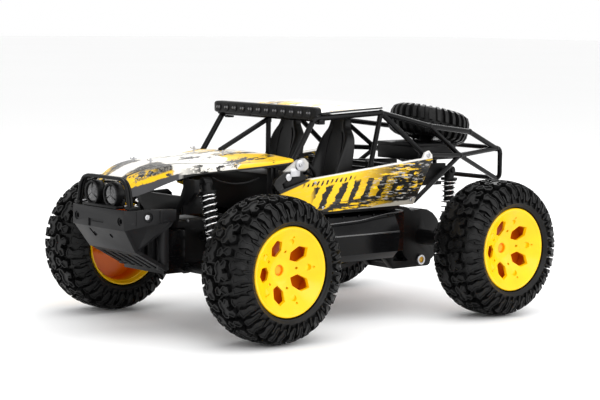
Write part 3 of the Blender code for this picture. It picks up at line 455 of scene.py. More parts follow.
def done(obj, name, finish, body="root", stands_for=(), smooth=35):
    """The last steps of every piece: place, normals, shading, finish and body."""
    settle(obj)
    obj.name = name
    obj.data.name = name
    pick(obj)
    bpy.ops.object.shade_smooth_by_angle(angle=math.radians(smooth))
    slot, material = FINISH[finish]
    obj.data.materials.clear()
    obj.data.materials.append(material)
    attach(obj, body)
    if stands_for:
        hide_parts(*stands_for)
    return obj


def outward(obj):
    """Merge doubles and turn every face outwards."""
    pick(obj)
    bpy.ops.object.mode_set(mode="EDIT")
    bpy.ops.mesh.select_all(action="SELECT")
    bpy.ops.mesh.remove_doubles(threshold=MERGE)
    bpy.ops.mesh.normals_make_consistent(inside=False)
    bpy.ops.object.mode_set(mode="OBJECT")
    return obj


def modified(obj, kind, **settings):
    """Add a modifier with these settings and apply it."""
    made = obj.modifiers.new("change", kind)
    for key, value in settings.items():
        setattr(made, key, value)
    return apply_all(obj)


def bevel(obj, width_mm, segments=2, angle=30):
    return modified(obj, "BEVEL", width=width_mm * MM, segments=segments, limit_method="ANGLE",
                    angle_limit=math.radians(angle), use_clamp_overlap=True)


def thicken(obj, thick_mm, offset=-1.0):
    return modified(obj, "SOLIDIFY", thickness=thick_mm * MM, offset=offset, use_even_offset=True)


def carve(obj, cutters):
    """Cut each of the cutters out of the object."""
    for cutter in cutters:
        settle(cutter)
        modified(obj, "BOOLEAN", operation="DIFFERENCE", solver="EXACT", object=cutter)
        bpy.data.objects.remove(cutter)
    return obj


def bar(start, end, radius_mm, sides=20, end_radius_mm=None):
    """A round bar between two points, tapered if it has an end radius of its own."""
    start, end = Vector(start), Vector(end)
    far_mm = radius_mm if end_radius_mm is None else end_radius_mm
    clear_selection()
    bpy.ops.mesh.primitive_cone_add(vertices=sides, radius1=radius_mm * MM, radius2=far_mm * MM,
                                    depth=(end - start).length, location=(start + end) / 2,
                                    rotation=facing(end - start).to_euler())
    return bpy.context.object


def ball(centre, radius_mm, segments, rings, flat=1.0):
    """A ball, pressed flat along X."""
    clear_selection()
    bpy.ops.mesh.primitive_uv_sphere_add(segments=segments, ring_count=rings, radius=radius_mm * MM,
                                         location=centre)
    bpy.context.object.scale.x = flat
    return bpy.context.object


def hoop(centre, axis, radius_mm, wire_mm, segments=32, across=8):
    """A ring of round wire about an axis."""
    clear_selection()
    bpy.ops.mesh.primitive_torus_add(major_segments=segments, minor_segments=across,
                                     major_radius=radius_mm * MM, minor_radius=wire_mm * MM, location=centre,
                                     rotation=facing(axis).to_euler())
    return settle(bpy.context.object)


def block(low, high, round_mm=0.5, segments=2):
    """A moulded block between two corners, with rounded edges."""
    low, high = Vector(low), Vector(high)
    clear_selection()
    bpy.ops.mesh.primitive_cube_add(size=1.0, location=(low + high) / 2)
    made = bpy.context.object
    made.scale = [abs(v) for v in high - low]
    settle(made)
    return bevel(made, round_mm, segments)


def shape(points, faces):
    mesh = bpy.data.meshes.new("shape")
    mesh.from_pydata([tuple(p) for p in points], [], faces)
    return placed("shape", mesh)


def loft(rings):
    """A closed solid through like outlines, one after another."""
    count, points = len(rings[0]), [point for ring in rings for point in ring]
    last = len(points) - count
    faces = [tuple(range(count)), tuple(range(last, len(points)))]
    for start in range(0, last, count):
        for i in range(count):
            a, b = start + i, start + (i + 1) % count
            faces.append((a, b, b + count, a + count))
    return outward(shape(points, faces))


def surface(rows):
    """A smoothed skin through rows of points."""
    width, points = len(rows[0]), [point for row in rows for point in row]
    faces = [(a, a + 1, a + width + 1, a + width)
             for start in range(0, len(points) - width, width) for a in range(start, start + width - 1)]
    return modified(shape(points, faces), "SUBSURF", levels=2, render_levels=2)


def filleted(points, radius_mm, steps=5):
    """The line through points with its bends rounded."""
    points = [Vector(p) for p in points]
    line = [points[0]]
    for before, here, after in zip(points, points[1:], points[2:]):
        back, ahead = (before - here), (after - here)
        reach = min(radius_mm * MM, back.length * 0.45, ahead.length * 0.45)
        first, last = here + back.normalized() * reach, here + ahead.normalized() * reach
        for i in range(steps + 1):
            t = i / steps
            line.append(first * (1 - t) ** 2 + here * 2 * t * (1 - t) + last * t * t)
    line.append(points[-1])
    return line


def swept(line, radius, smoothness, closed=False):
    """A round tube whose middle runs through every point of the line."""
    curve = bpy.data.curves.new("tube", "CURVE")
    curve.dimensions = "3D"
    curve.bevel_depth = radius
    curve.bevel_resolution = smoothness
    curve.use_fill_caps = True
    spline = curve.splines.new("POLY")
    spline.points.add(len(line) - 1)
    for point, place in zip(spline.points, line):
        point.co = (*place, 1.0)
    spline.use_cyclic_u = closed
    pick(placed("tube", curve))
    bpy.ops.object.convert(target="MESH")
    return bpy.context.object


def pipe(points, radius_mm, closed=False, bend_mm=5.0, smoothness=4):
    """A round tube along a line with rounded bends."""
    if closed:
        middle = (Vector(points[0]) + Vector(points[-1])) / 2
        points = [middle, *points, middle]
    line = filleted(points, bend_mm)
    return swept(line[:-1] if closed else line, radius_mm * MM, smoothness, closed)


def rounded_copy(node, width_mm=0.45, segments=2, angle=32):
    """The CAD node's shape with softened edges, as a new mesh."""
    made = pick(placed(node + "_copy", NODES[node].data.copy()))
    bpy.ops.object.mode_set(mode="EDIT")
    bpy.ops.mesh.select_all(action="SELECT")
    bpy.ops.mesh.remove_doubles(threshold=MERGE)
    bpy.ops.mesh.customdata_custom_splitnormals_clear()
    bpy.ops.mesh.dissolve_limited(angle_limit=math.radians(2.0))
    bpy.ops.object.mode_set(mode="OBJECT")
    return bevel(made, width_mm, segments, angle)


def polar(radius_mm, angle, y_mm=0.0):
    """The point at a radius and an angle about the Y axis."""
    return Vector((radius_mm * math.cos(angle), y_mm, radius_mm * math.sin(angle))) * MM


# ---------------------------------------------------------------- tyres

LUGS_ROUND = 12
TYRE_RADIUS = 55.0
PITCH = 2 * math.pi * TYRE_RADIUS / LUGS_ROUND

# The path over the lug tips from the middle of the tread to the side, as (y, radius), and how far along it
# each corner lies
TIP = [(0.0, 54.9), (8.0, 54.85), (12.5, 54.2), (16.5, 52.8), (20.0, 50.2), (22.6, 46.6), (24.2, 42.6),
       (24.8, 38.0)]
TIP_LENGTHS = [0.0]
for (near_y, near_r), (far_y, far_r) in zip(TIP, TIP[1:]):
    TIP_LENGTHS.append(TIP_LENGTHS[-1] + math.hypot(far_y - near_y, far_r - near_r))


def tip_normal(k):
    low, high = TIP[max(k - 1, 0)], TIP[min(k + 1, len(TIP) - 1)]
    return Vector((low[1] - high[1], high[0] - low[0])).normalized()


def on_tread(s, t, sunk):
    """The point of the tyre at arc s round it and t across it, sunk below the lug tips, from millimetres."""
    side = -1 if t < 0 else 1
    t = min(abs(t), TIP_LENGTHS[-1] - 0.001)
    i = max(k for k, length in enumerate(TIP_LENGTHS[:-1]) if length <= t)
    share = (t - TIP_LENGTHS[i]) / (TIP_LENGTHS[i + 1] - TIP_LENGTHS[i])
    # The normal turns smoothly from one corner of the path to the next
    normal = tip_normal(i).lerp(tip_normal(i + 1), share).normalized()
    y, r = Vector(TIP[i]).lerp(Vector(TIP[i + 1]), share) - normal * sunk
    return polar(r, s / TYRE_RADIUS, side * y)


def lug_depth(t):
    """Deep lugs over the crown, shallow ones down the shoulder."""
    return 4.6 - 2.9 * max(0.0, min(1.0, (abs(t) - 12.0) / 22.0))


# The lugs of one side of one pitch, as outlines of (arc round, arc across) on the path over the tips
CLAWS = [
    [(1.2, 2.2), (4.5, 0.4), (8.0, 2.4), (11.5, 0.6), (16.0, 1.2), (18.6, 4.2), (15.8, 7.0), (19.8, 9.6),
     (18.4, 13.2), (13.6, 12.6), (12.0, 9.0), (8.8, 10.8), (9.6, 14.6), (5.4, 15.8), (2.8, 12.4), (5.0, 8.6),
     (1.6, 6.6)],
    [(20.6, 1.0), (25.0, 0.5), (28.0, 3.6), (25.8, 7.0), (29.2, 10.2), (28.4, 14.8), (23.4, 15.6),
     (22.0, 12.0), (23.8, 8.4), (20.8, 5.4)],
    [(11.4, 16.6), (15.6, 14.6), (19.4, 15.4), (18.4, 19.6), (20.4, 24.2), (18.2, 30.6), (14.6, 31.8),
     (13.0, 26.0), (14.6, 21.2)],
    [(1.0, 19.0), (5.2, 17.6), (9.2, 19.0), (8.0, 23.4), (9.4, 28.6), (5.6, 32.8), (2.2, 31.4), (3.2, 25.4)],
    [(21.6, 18.2), (26.4, 17.6), (28.2, 20.4), (26.6, 25.0), (27.2, 31.0), (23.2, 32.4), (22.6, 26.0)],
    [(10.6, 27.2), (12.2, 25.8), (12.8, 30.0), (12.0, 35.4), (10.4, 36.6), (10.2, 31.6)],
    [(19.8, 29.6), (21.8, 28.8), (22.2, 32.6), (21.6, 36.4), (20.0, 36.6), (20.4, 33.0)],
    [(28.0, 25.6), (29.4, 24.8), (29.6, 30.2), (28.8, 36.0), (27.4, 36.2), (28.0, 31.0)],
]


def lug(bm, outline, shift, side):
    """One lug: its outline cut into small cells, raised, with a sunk field inside a raised edge, then laid
    round the tyre."""
    own = bmesh.new()
    own.faces.new([own.verts.new((s, t, 0.0)) for s, t in outline])
    for along, step, reach in ((Vector((1, 0, 0)), 5.0, 30.0), (Vector((0, 1, 0)), 3.6, 36.0)):
        cut = step * 0.7
        while cut < reach:
            bmesh.ops.bisect_plane(own, geom=own.verts[:] + own.edges[:] + own.faces[:], plane_co=along * cut,
                                   plane_no=along)
            cut += step
    bottom = own.faces[:]
    raised = bmesh.ops.extrude_face_region(own, geom=bottom)
    top_verts = [v for v in raised["geom"] if isinstance(v, bmesh.types.BMVert)]
    top = [f for f in raised["geom"] if isinstance(f, bmesh.types.BMFace)]
    centre = sum((v.co for v in top_verts), Vector()) / len(top_verts)
    for vert in top_verts:
        vert.co.z = 1.0
        vert.co.xy = centre.xy + (vert.co.xy - centre.xy) * 0.93
    bmesh.ops.inset_region(own, faces=top, thickness=0.75)
    bmesh.ops.inset_region(own, faces=top, thickness=0.3)
    for vert in {v for face in top for v in face.verts}:
        vert.co.z = 0.80
    bmesh.ops.delete(own, geom=[f for f in bottom if f.is_valid], context="FACES_ONLY")
    made = {}
    for vert in own.verts:
        s, t, h = vert.co
        # The foot of a lug goes a little way into the carcass
        sunk = (1.0 - h) * lug_depth(t) + (0.25 if h == 0 else 0.0)
        made[vert] = bm.verts.new(on_tread(s + shift, side * t, sunk))
    for face in own.faces:
        ring = [made[v] for v in face.verts]
        bm.faces.new(ring if side > 0 else ring[::-1])
    own.free()


def tyre_mesh():
    """A tyre round the origin, its axle along Y."""
    bm = bmesh.new()
    for turn in range(LUGS_ROUND):
        for side, offset in ((1, 0.0), (-1, PITCH * 0.5)):
            for outline in CLAWS:
                lug(bm, outline, turn * PITCH + offset, side)
    profile = []
    for k in range(15):
        t = -33.0 + 66.0 * k / 14
        point = on_tread(0.0, t, lug_depth(t))
        profile.append((point.y / MM, point.x / MM))
    wall = [(23.2, 38.6), (23.6, 37.6), (22.9, 36.4), (22.2, 36.0), (21.6, 34.6), (19.5, 34.2), (17.5, 33.2)]
    profile = [(-y, r) for y, r in reversed(wall)] + profile + wall
    steps = 96
    rings = [[bm.verts.new(polar(r, 2 * math.pi * step / steps, y)) for y, r in profile]
             for step in range(steps)]
    for step in range(steps):
        near, far = rings[step], rings[(step + 1) % steps]
        for i in range(len(profile)):
            j = (i + 1) % len(profile)
            bm.faces.new((near[i], far[i], far[j], near[j]))
    mesh = bpy.data.meshes.new("tyre")
    bm.to_mesh(mesh)
    bm.free()
    return mesh


def placed_copy(mesh, centre, turn_degrees=0.0, half_turn=False):
    own = mesh.copy()
    matrix = Matrix.Translation(centre) @ Matrix.Rotation(math.radians(turn_degrees), 4, "Y")
    if half_turn:
        matrix = matrix @ Matrix.Rotation(math.pi, 4, "Z")
    own.transform(matrix)
    return placed("copy", own)


def spun(outline, steps):
    """A closed outline of (y, radius) turned about the Y axis, in millimetres."""
    obj = pick(shape([(r * MM, y * MM, 0.0) for y, r in outline], [list(range(len(outline)))]))
    bpy.ops.object.mode_set(mode="EDIT")
    bpy.ops.mesh.select_all(action="SELECT")
    bpy.ops.mesh.delete(type="ONLY_FACE")
    bpy.ops.mesh.select_all(action="SELECT")
    bpy.ops.mesh.spin(steps=steps, angle=2 * math.pi, center=(0, 0, 0), axis=(0, 1, 0))
    bpy.ops.object.mode_set(mode="OBJECT")
    return outward(obj)


def dish(r):
    """How far out the rim's face is at radius r."""
    return 8.4 + 0.40 * (r - 9.0) + 0.0072 * (r - 9.0) ** 2


def window_cutter(angle, reach, radius, chamfer):
    """A hexagonal prism through the dish, flared where it meets the face."""
    face, steps = dish(reach), 18       # each side of the hexagon is drawn as three short ones
    rings = []
    for y, size in ((1.6, radius), (face - 0.5, radius), (face + 0.5, radius + chamfer),
                    (face + 6.0, radius + 4 * chamfer)):
        ring = []
        for k in range(steps):
            turn = 2 * math.pi * k / steps
            corner = size * (1.0 - 0.15 * (0.5 - 0.5 * math.cos(6 * turn)))
            ring.append(polar(reach + corner * math.cos(turn), angle, y)
                        + polar(0.84 * corner * math.sin(turn), angle - math.pi / 2))
        rings.append(ring)
    return loft(rings)


def rim_piece():
    """The left rim, face toward +Y: rolled lip, dish, five hexagonal windows, dimples, web and hub."""
    radii = [29.6 - 1.2 * k for k in range(18)]
    front = [(19.6, 33.4), (20.7, 33.4), (21.2, 32.9), (21.3, 32.2), (21.0, 31.4), (20.3, 30.6)]
    front += [(dish(r), r) for r in radii]
    hub = [(8.1, 7.6), (8.1, 4.6), (7.8, 4.1), (5.8, 3.9), (5.6, 2.75), (-6.0, 2.75), (-6.0, 7.0), (-0.8, 7.1),
           (-0.8, 29.2), (0.8, 29.2), (0.8, 7.3), (4.0, 7.3)]
    back = [(dish(r) - 2.3, r) for r in reversed(radii[:-1])]
    barrel = [(16.6, 30.2), (8.0, 30.0), (0.0, 29.9), (-8.0, 30.0), (-16.8, 30.2), (-18.2, 31.4),
              (-20.4, 31.9), (-21.2, 32.5), (-21.2, 33.1), (-20.4, 33.5), (-18.0, 33.4), (-17.6, 31.6),
              (17.6, 31.6), (18.0, 33.4)]
    cutters = []
    for i in range(5):
        angle = math.radians(140 - 72 * i)
        cutters.append(window_cutter(angle, 17.8, 6.7, 0.3))
        for reach, radius, deep in ((21.5, 2.6, 0.7), (14.2, 1.0, 4.0), (25.6, 0.8, 1.2)):
            clear_selection()
            bpy.ops.mesh.primitive_cylinder_add(
                vertices=24, radius=radius * MM, depth=(deep + 2.0) * MM, rotation=(math.pi / 2, 0, 0),
                location=polar(reach, angle - math.radians(36), dish(reach) + 1.0 - deep / 2))
            cutters.append(bpy.context.object)
    return carve(spun(front + hub + back + barrel, 120), cutters)


def wheels():
    """The four road wheels, each tread turned to another angle."""
    tyre = tyre_mesh()
    rim = rim_piece()
    hub = bevel(bar((0, 5.5 * MM, 0), (0, 6.3 * MM, 0), 3.6, 32, 3.0), 0.2, 2)
    settle(hub)
    for end, x in (("front", FRONT_AXLE), ("rear", REAR_AXLE)):
        for label, side in SIDES.items():
            centre = at(x, side * WHEEL_Y, AXLE_Z)
            body = "front_wheel_" + label if end == "front" else "rear_axle"
            corner = end + "_" + label
            rest = {"front_left": 7.0, "rear_left": 19.0, "front_right": 3.0, "rear_right": 11.0}[corner]
            done(placed_copy(tyre, centre, rest, side < 0), "tread_" + corner, "rubber", body,
                 ["tyre_" + corner], 38)
            done(placed_copy(rim.data, centre, 0.0, side < 0), "wheel_" + corner, "rim", body,
                 ["rim_" + corner], 30)
            done(placed_copy(hub.data, centre, 0.0, side < 0), "wheel_cap_" + corner, "rim", body)
    for spare in (rim, hub):
        bpy.data.objects.remove(spare)


# ---------------------------------------------------------------- spare wheel

SPARE_PITCH = math.radians(14)
SPARE_CLEATS = 30


def cleat(angle, side):
    """One bar of the spare's tread, from the middle of the crown down one shoulder."""
    path = [(0.6, 34.6), (6.0, 34.3), (10.2, 32.4), (12.4, 28.4), (12.85, 25.4)]
    points = []
    for y, r in path:
        deep = 4.6 if y < 9 else 3.4
        for wide, down in ((-1.75, deep), (-1.45, 0.0), (1.45, 0.0), (1.75, deep)):
            turn = angle + wide / 34.0 + side * y * 0.006
            if y < 11:
                points.append(polar(r - down, turn, side * y))
            else:
                points.append(polar(r - down * 0.5, turn, side * (y - down)))
    last = (len(path) - 1) * 4
    faces = [(a, a + 1, a + 5, a + 4) for k in range(0, last, 4) for a in range(k, k + 3)]
    faces += [(0, 3, 2, 1), (last, last + 1, last + 2, last + 3),
              (*range(0, last + 1, 4), *range(last + 3, 0, -4))]
    return shape(points, faces)


def spare_wheel():
    stand = (Matrix.Translation(at(-141.0, 0.0, 149.0)) @ Matrix.Rotation(-SPARE_PITCH, 4, "Y")
             @ Matrix.Rotation(math.pi / 2, 4, "X"))
    carcass = [(-10.8, 19.8), (-12.0, 21.5), (-12.2, 24.4), (-11.0, 27.4), (-8.6, 29.6), (-5.0, 30.5),
               (0.0, 30.7), (5.0, 30.5), (8.6, 29.6), (11.0, 27.4), (12.2, 24.4), (12.0, 21.5), (10.8, 19.8)]
    pieces = [spun(carcass, 72)]
    for i in range(SPARE_CLEATS):
        pieces.append(cleat(2 * math.pi * i / SPARE_CLEATS, 1))
        pieces.append(cleat(2 * math.pi * (i + 0.5) / SPARE_CLEATS, -1))
    tyre = outward(joined(pieces))
    tyre.data.transform(stand)
    done(tyre, "spare_tread", "rubber", "root", ["spare_tyre"], 35)
    hub_outline = [(-10.8, 4.2), (-10.8, 15.6), (-11.2, 19.0), (11.2, 19.0), (11.2, 17.6), (9.8, 16.6),
                   (6.0, 15.4), (4.4, 12.0), (5.4, 8.0), (5.4, 4.2)]
    studs = []
    for i in range(5):
        angle = 2 * math.pi * i / 5
        studs.append(bar(polar(10, angle, 4.0), polar(10, angle, 6.4), 1.5, 6))
    cap = bar((0, -9.5 * MM, 0), (0, 8.4 * MM, 0), 3.9, 28, 3.2)
    hub = settle(joined([bevel(spun(hub_outline, 60), 0.4), bevel(cap, 0.6, 3), *studs]))
    hub.data.transform(stand)
    done(hub, "spare_hub_detail", "gloss", "root", ["spare_hub"], 30)


# ---------------------------------------------------------------- cage


def cage():
    """The tubes of the cage, with a ball at each welded knot, and the tubes that brace the screen."""
    tail = -182.8       # the station where the side tubes end
    knots = {"pillar": (65, 58.2, 120.6), "roof_front": (38, 57, 161), "roof_rear": (-32, 57, 164),
             "middle": (-90, 53, 151.5), "end": (-143, 47, 145), "knot": (-127, 52, 126), "tab": (-77, 61, 129),
             "post": (-14, 57, 89.6), "strut": (-70, 57, 91), "top": (tail, 40, 129), "low": (tail, 40, 103.6)}
    runs = (("pillar", "roof_front", "roof_rear", "middle", "end", "top"), ("roof_rear", "tab", "knot", "top"),
            ("post", "roof_rear"), ("middle", "knot"), ("strut", "knot", "low"))
    for label, side in SIDES.items():
        spots = {key: at(x, side * y, z) for key, (x, y, z) in knots.items()}
        tubes = [pipe([spots[key] for key in run], 2.25 - 0.08 * i, bend_mm=3.5)
                 for i, run in enumerate(runs)]
        tubes += [ball(spots[key], 2.65, 16, 10) for key in ("roof_rear", "knot", "top", "middle", "end")]
        foot = spots["roof_front"]
        tubes.append(block(foot + Vector((-9, -2.8, -4.6)) * MM, foot + Vector((-3.0, 2.8, -0.6)) * MM, 0.6))
        done(joined(tubes), "cage_tubes_" + label, "gloss", "root", ["cage_" + label], 40)
    half, low, high = 40, 103, 129
    loop = [at(-188, half, low), at(-188, half, high), at(-188, -half, high), at(-188, -half, low)]
    done(pipe(loop, 2.1, closed=True, bend_mm=5.0), "tail_frame_tube", "gloss", "root", ["rear_frame"], 40)
    y = 57 - 2.3 * 1.12 - 0.3       # clear of the side tubes
    tubes = [pipe([at(38, -y, 160.8), at(38, y, 160.8)], 2.15),
             pipe([at(37, 0, 161), at(37, 0, 120.8)], 2.05),
             pipe([at(38, 0, 158), at(86, 0, 134.9)], 1.95)]
    for x, z in ((37, 124), (37, 157)):
        tubes.append(bar(at(x, 0, z - 1.5), at(x, 0, z + 1.5), 2.5))
    done(joined(tubes), "windscreen_tubes", "gloss", "root", ["windscreen_brace"], 40)


# ---------------------------------------------------------------- springs and shocks


def coil(top, foot, turns, wire_mm, radius_mm):
    """A round-wire spring whose ends lie flat on its two seats."""
    per_turn, slow = 24, 0.35       # points to a turn, and how much slower the wire rises in its end turns
    wire = wire_mm * MM
    stand = Matrix.Translation(foot) @ facing(top - foot).to_matrix().to_4x4()
    count = int(turns * per_turn)
    flat = 0.9 / turns
    line = []
    for i in range(count + 1):
        share = i / count
        if share < flat:
            rise = slow * (share / flat) ** 2 * flat
        elif share > 1 - flat:
            rise = 1.0 - slow * ((1 - share) / flat) ** 2 * flat
        else:
            rise = slow * flat + (share - flat) / (1 - 2 * flat) * (1 - 2 * slow * flat)
        angle = 2 * math.pi * i / per_turn
        height = wire + ((top - foot).length - 2 * wire) * rise
        across = Vector((math.cos(angle), math.sin(angle), 0.0)) * radius_mm * MM
        line.append(stand @ (across + Vector((0.0, 0.0, height))))
    return swept(line, wire, 2)


def shocks():
    """Each shock: a spring between its two seats, a ringed damper body and its rod."""
    for end, top, foot, seats, wound, travel, ringed in (
            ("front", (128.5, 38.0, 114.5), (128.5, 52.0, 55.5), (9.0, 11.0), (9.5, 0.72, 5.85), 5.6, 35.0),
            ("rear", (-127.0, 40.0, 112.5), (-127.0, 40.0, 65.5), (8.0, 8.0), (8.0, 0.5, 6.0), 9.8, 26.0)):
        for label, side in SIDES.items():
            head = at(top[0], side * top[1], top[2])
            heel = at(foot[0], side * foot[1], foot[2])
            down = (heel - head).normalized()
            corner = end + "_" + label
            body = "shock_" + corner
            upper = head + down * (seats[0] + 0.3) * MM
            lower = heel - down * (seats[1] + 0.3) * MM
            made = done(coil(upper, lower, *wound), "coil_" + corner, "spring", body,
                        ["shock_spring_" + corner], 60)
            axis = (upper - lower).normalized()
            span = (upper - lower).length / MM
            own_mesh(made)
            pieces = [rounded_copy("shock_body_" + corner, 0.35)]
            for k in range(5):
                along = seats[0] + 3.0 + 3.4 * k
                if along < ringed:
                    pieces.append(hoop(head + down * along * MM, down, 4.3, 0.5))
            done(joined(pieces), "damper_" + corner, "satin", body, ["shock_body_" + corner], 30)
            done(rounded_copy("shock_rod_part_" + corner, 0.3), "damper_rod_" + corner, "satin",
                 "shock_rod_" + corner, ["shock_rod_part_" + corner], 30)


# ---------------------------------------------------------------- body


def hood():
    stations = ((189, 20, 103.8, 114, 117), (184, 22, 105, 118, 120.5), (175, 24.5, 107.5, 122.6, 124.3),
                (167, 26, 110.5, 125.8, 127.3), (155, 28, 115, 128, 129.3), (140, 34, 120, 128.5, 131),
                (120, 43, 122, 126.5, 133), (98, 52, 123.5, 127, 134.5), (78, 59, 126, 129.5, 135.5),
                (62, 61, 127.5, 131, 134))
    rows = []
    for x, half, skirt, edge, crown in stations:
        wing = [(half + 0.5, skirt), (half + 0.45, skirt + 0.25 * (edge - skirt)), (half + 0.2, edge - 0.6),
                (half - 0.6, edge)]
        wing += [(half * share, edge + (crown - edge) * rise)
                 for share, rise in ((0.93, 0.10), (0.75, 0.34), (0.5, 0.72), (0.2, 0.96))]
        rows.append([at(x, -y, z) for y, z in wing] + [at(x, y, z) for y, z in reversed(wing)])
    skin = thicken(outward(surface(rows)), 1.2)
    # The front lip closes the nose
    lip = block(at(187.6, -19.6, 104.4), at(188.9, 19.6, 113.5), 0.5)
    done(joined([skin, lip]), "hood_shell", "hood", "root", ["hood"], 40)
    clips = []
    for x, y, z in ((158, 8, 129.6), (158, -14, 129.3), (100, -15, 135.2), (100, 22, 134.6)):
        clips.append(bar(at(x, y, z - 2.0), at(x, y, z + 2.2), 0.8, 10))
        clips.append(pipe([at(x - 2.5, y, z + 0.8), at(x + 2.5, y, z + 0.8), at(x + 3.4, y, z + 1.8)], 0.35,
                          bend_mm=0.5, smoothness=2))
    done(joined(clips), "hood_clips", "screw", smooth=40)


def roof():
    rows = []
    for x, edge, crown in ((32, 165.4, 168.5), (24, 166.0, 169.7), (14, 166.5, 171), (0, 167.2, 171.6),
                           (-14, 167.8, 171.7), (-26, 168.3, 171.0), (-33, 168.6, 170)):
        rows.append([at(x, 59 * share, edge + (crown - edge) * (1 - abs(share) ** 1.7))
                     for share in (-1, -0.97, -0.75, -0.5, -0.25, 0, 0.25, 0.5, 0.75, 0.97, 1)])
    skin = thicken(outward(surface(rows)), 1.3)
    ribs = [pipe([at(27, y, 168.0), at(-28, y, 169.9)], 0.7, smoothness=3) for y in (-38, 38)]
    done(joined([skin, *ribs]), "roof_skin", "roof", "root", ["roof_panel"], 40)


def screw(head, out, radius_mm=1.6):
    """A domed cross-head screw. head is the centre of its seat."""
    out = Vector(out).normalized()
    top = head + out * 0.9 * MM
    dome = bevel(bar(head, top, radius_mm, 24, radius_mm * 0.86), 0.3, 3)
    slots = []
    wide, slim = radius_mm * 1.15 * MM, 0.42 * MM
    for size in ((slim, wide), (wide, slim)):
        clear_selection()
        bpy.ops.mesh.primitive_cube_add(size=1.0, location=(0, 0, 0))
        slots.append(bpy.context.object)
        slots[-1].data.transform(Matrix.Translation(top) @ facing(out).to_matrix().to_4x4()
                                 @ Matrix.Diagonal((*size, 1.1 * MM, 1.0)))
    return carve(dome, slots)


def side_panels():
    for label, side in SIDES.items():
        panel = rounded_copy("side_panel_" + label, 0.35, 2, 40)
        done(panel, "door_panel_" + label, "door", "root", ["side_panel_" + label], 35)
        out = (0, side, 0)
        heads = [screw(at(x, side * 66.0, z), out, radius) for x, z, radius in
                 ((-77.0, 129.0, 2.2), (-58, 93.6, 1.4), (36, 92.5, 1.4), (44, 112.2, 1.4))]
        done(joined(heads), "door_screws_" + label, "screw", smooth=40)
        boss = [bar(at(59, side * 63.2, 126.5), at(59, side * 66.4, 126.5), 4.6, 28, 4.2),
                bar(at(70, side * 63.6, 117.5), at(70, side * 65.8, 117.5), 3.2, 24, 2.8),
                block(at(58, side * 63.4, 117.5), at(68, side * 65.2, 124.5), 0.6)]
        hinge = joined([bevel(joined(boss), 0.3), screw(at(59, side * 66.3, 126.5), out, 1.7)])
        done(hinge, "hinge_boss_" + label, "screw", smooth=40)


def light_bar():
    half = 64.2
    profile = [(43.3, 161.0), (43.4, 169.0), (42.4, 170.2), (36.8, 170.3), (35.3, 169.0), (35.2, 164.2),
               (41.2, 163.7), (42.1, 161.0)]
    middle = Vector((39.8, 166.6))
    # The case draws in toward its two ends
    ends = [(half, 0.62), (half - 1.5, 0.86), (half - 4.5, 1.0)]
    rings = []
    for y, share in [(-y, share) for y, share in ends] + ends[::-1]:
        spots = [middle + (Vector(corner) - middle) * share for corner in profile]
        rings.append([at(spot.x, y, spot.y) for spot in spots])
    parts = [bevel(loft(rings), 0.35, 2, 25)]
    parts += [block(at(37.0, y - 2.2, 159.6), at(42.4, y + 2.2, 162.4), 0.5) for y in (-57, -19, 19, 57)]
    lenses = []
    for i in range(12):
        y = (i - 5.5) * 10.3
        parts.append(bar(at(43.0, y, 165.3), at(43.9, y, 165.3), 3.35, 24, 3.1))
        lenses += [ball(at(43.7, y + dy, 165.5), 1.15, 14, 8, 0.55) for dy in (-1.35, 1.35)]
    done(joined(parts), "light_bar_case", "satin", "root", ["light_bar"], 35)
    done(joined(lenses), "light_bar_leds", "lens", smooth=60)


def lamps():
    base, lamp_z = 96.8, 106.6
    parts = [block(at(191, -22, base), at(199.4, 22, base + 2), 0.4),
             block(at(190.6, -22, base + 0.5), at(193, 22, base + 7), 0.4)]
    shell = [(0.0, 0.01), (0.0, 8.6), (0.8, 9.2), (6.4, 9.25), (7.7, 8.9), (7.7, 7.7), (6.4, 7.4),
             (6.4, 0.01)]
    glasses = []
    for side in SIDES.values():
        y = side * 12.2
        can = spun(shell, 40)
        can.data.transform(Matrix.Translation(at(190.1, y, lamp_z)) @ Matrix.Rotation(-math.pi / 2, 4, "Z"))
        parts.append(can)
        glasses.append(ball(at(196.4, y, lamp_z), 7.4, 36, 18, 0.16))
        for k in range(3):
            angle = math.radians(90 + 120 * k)
            end = at(197.2, y + 7.2 * math.cos(angle), lamp_z + 7.2 * math.sin(angle))
            parts.append(bar(at(197.2, y, lamp_z), end, 0.45, 8))
    done(joined(parts), "lamp_cans", "satin", "root", ["headlamps"], 35)
    done(joined(glasses), "lamp_glasses", "reflector", smooth=60)
    half = [(33.2, 98), (30.6, 111), (26.6, 117), (21, 118.8)]
    guard = [at(194, -y, z) for y, z in half] + [at(194, y, z) for y, z in reversed(half)]
    rails = [pipe([p + Vector(shift) * MM for p in guard], 1.35, bend_mm=4.0)
             for shift in ((1.4, 0, 0.2), (-1.3, 0, 0))]
    rails += [block(at(188, side * 33 - 3.6, base), at(197, side * 33 + 3.6, base + 2.4), 0.5)
              for side in SIDES.values()]
    done(joined(rails), "lamp_guard_rails", "satin", "root", ["lamp_guard"], 40)


FOLD_Z, FOLD_LEAN = 81.5, 0.731     # where the bumper's face folds back, and its lean per millimetre
CHEEK_X, CHEEK_Y = 11.5, 39.0       # the direction that the bumper's cheeks face


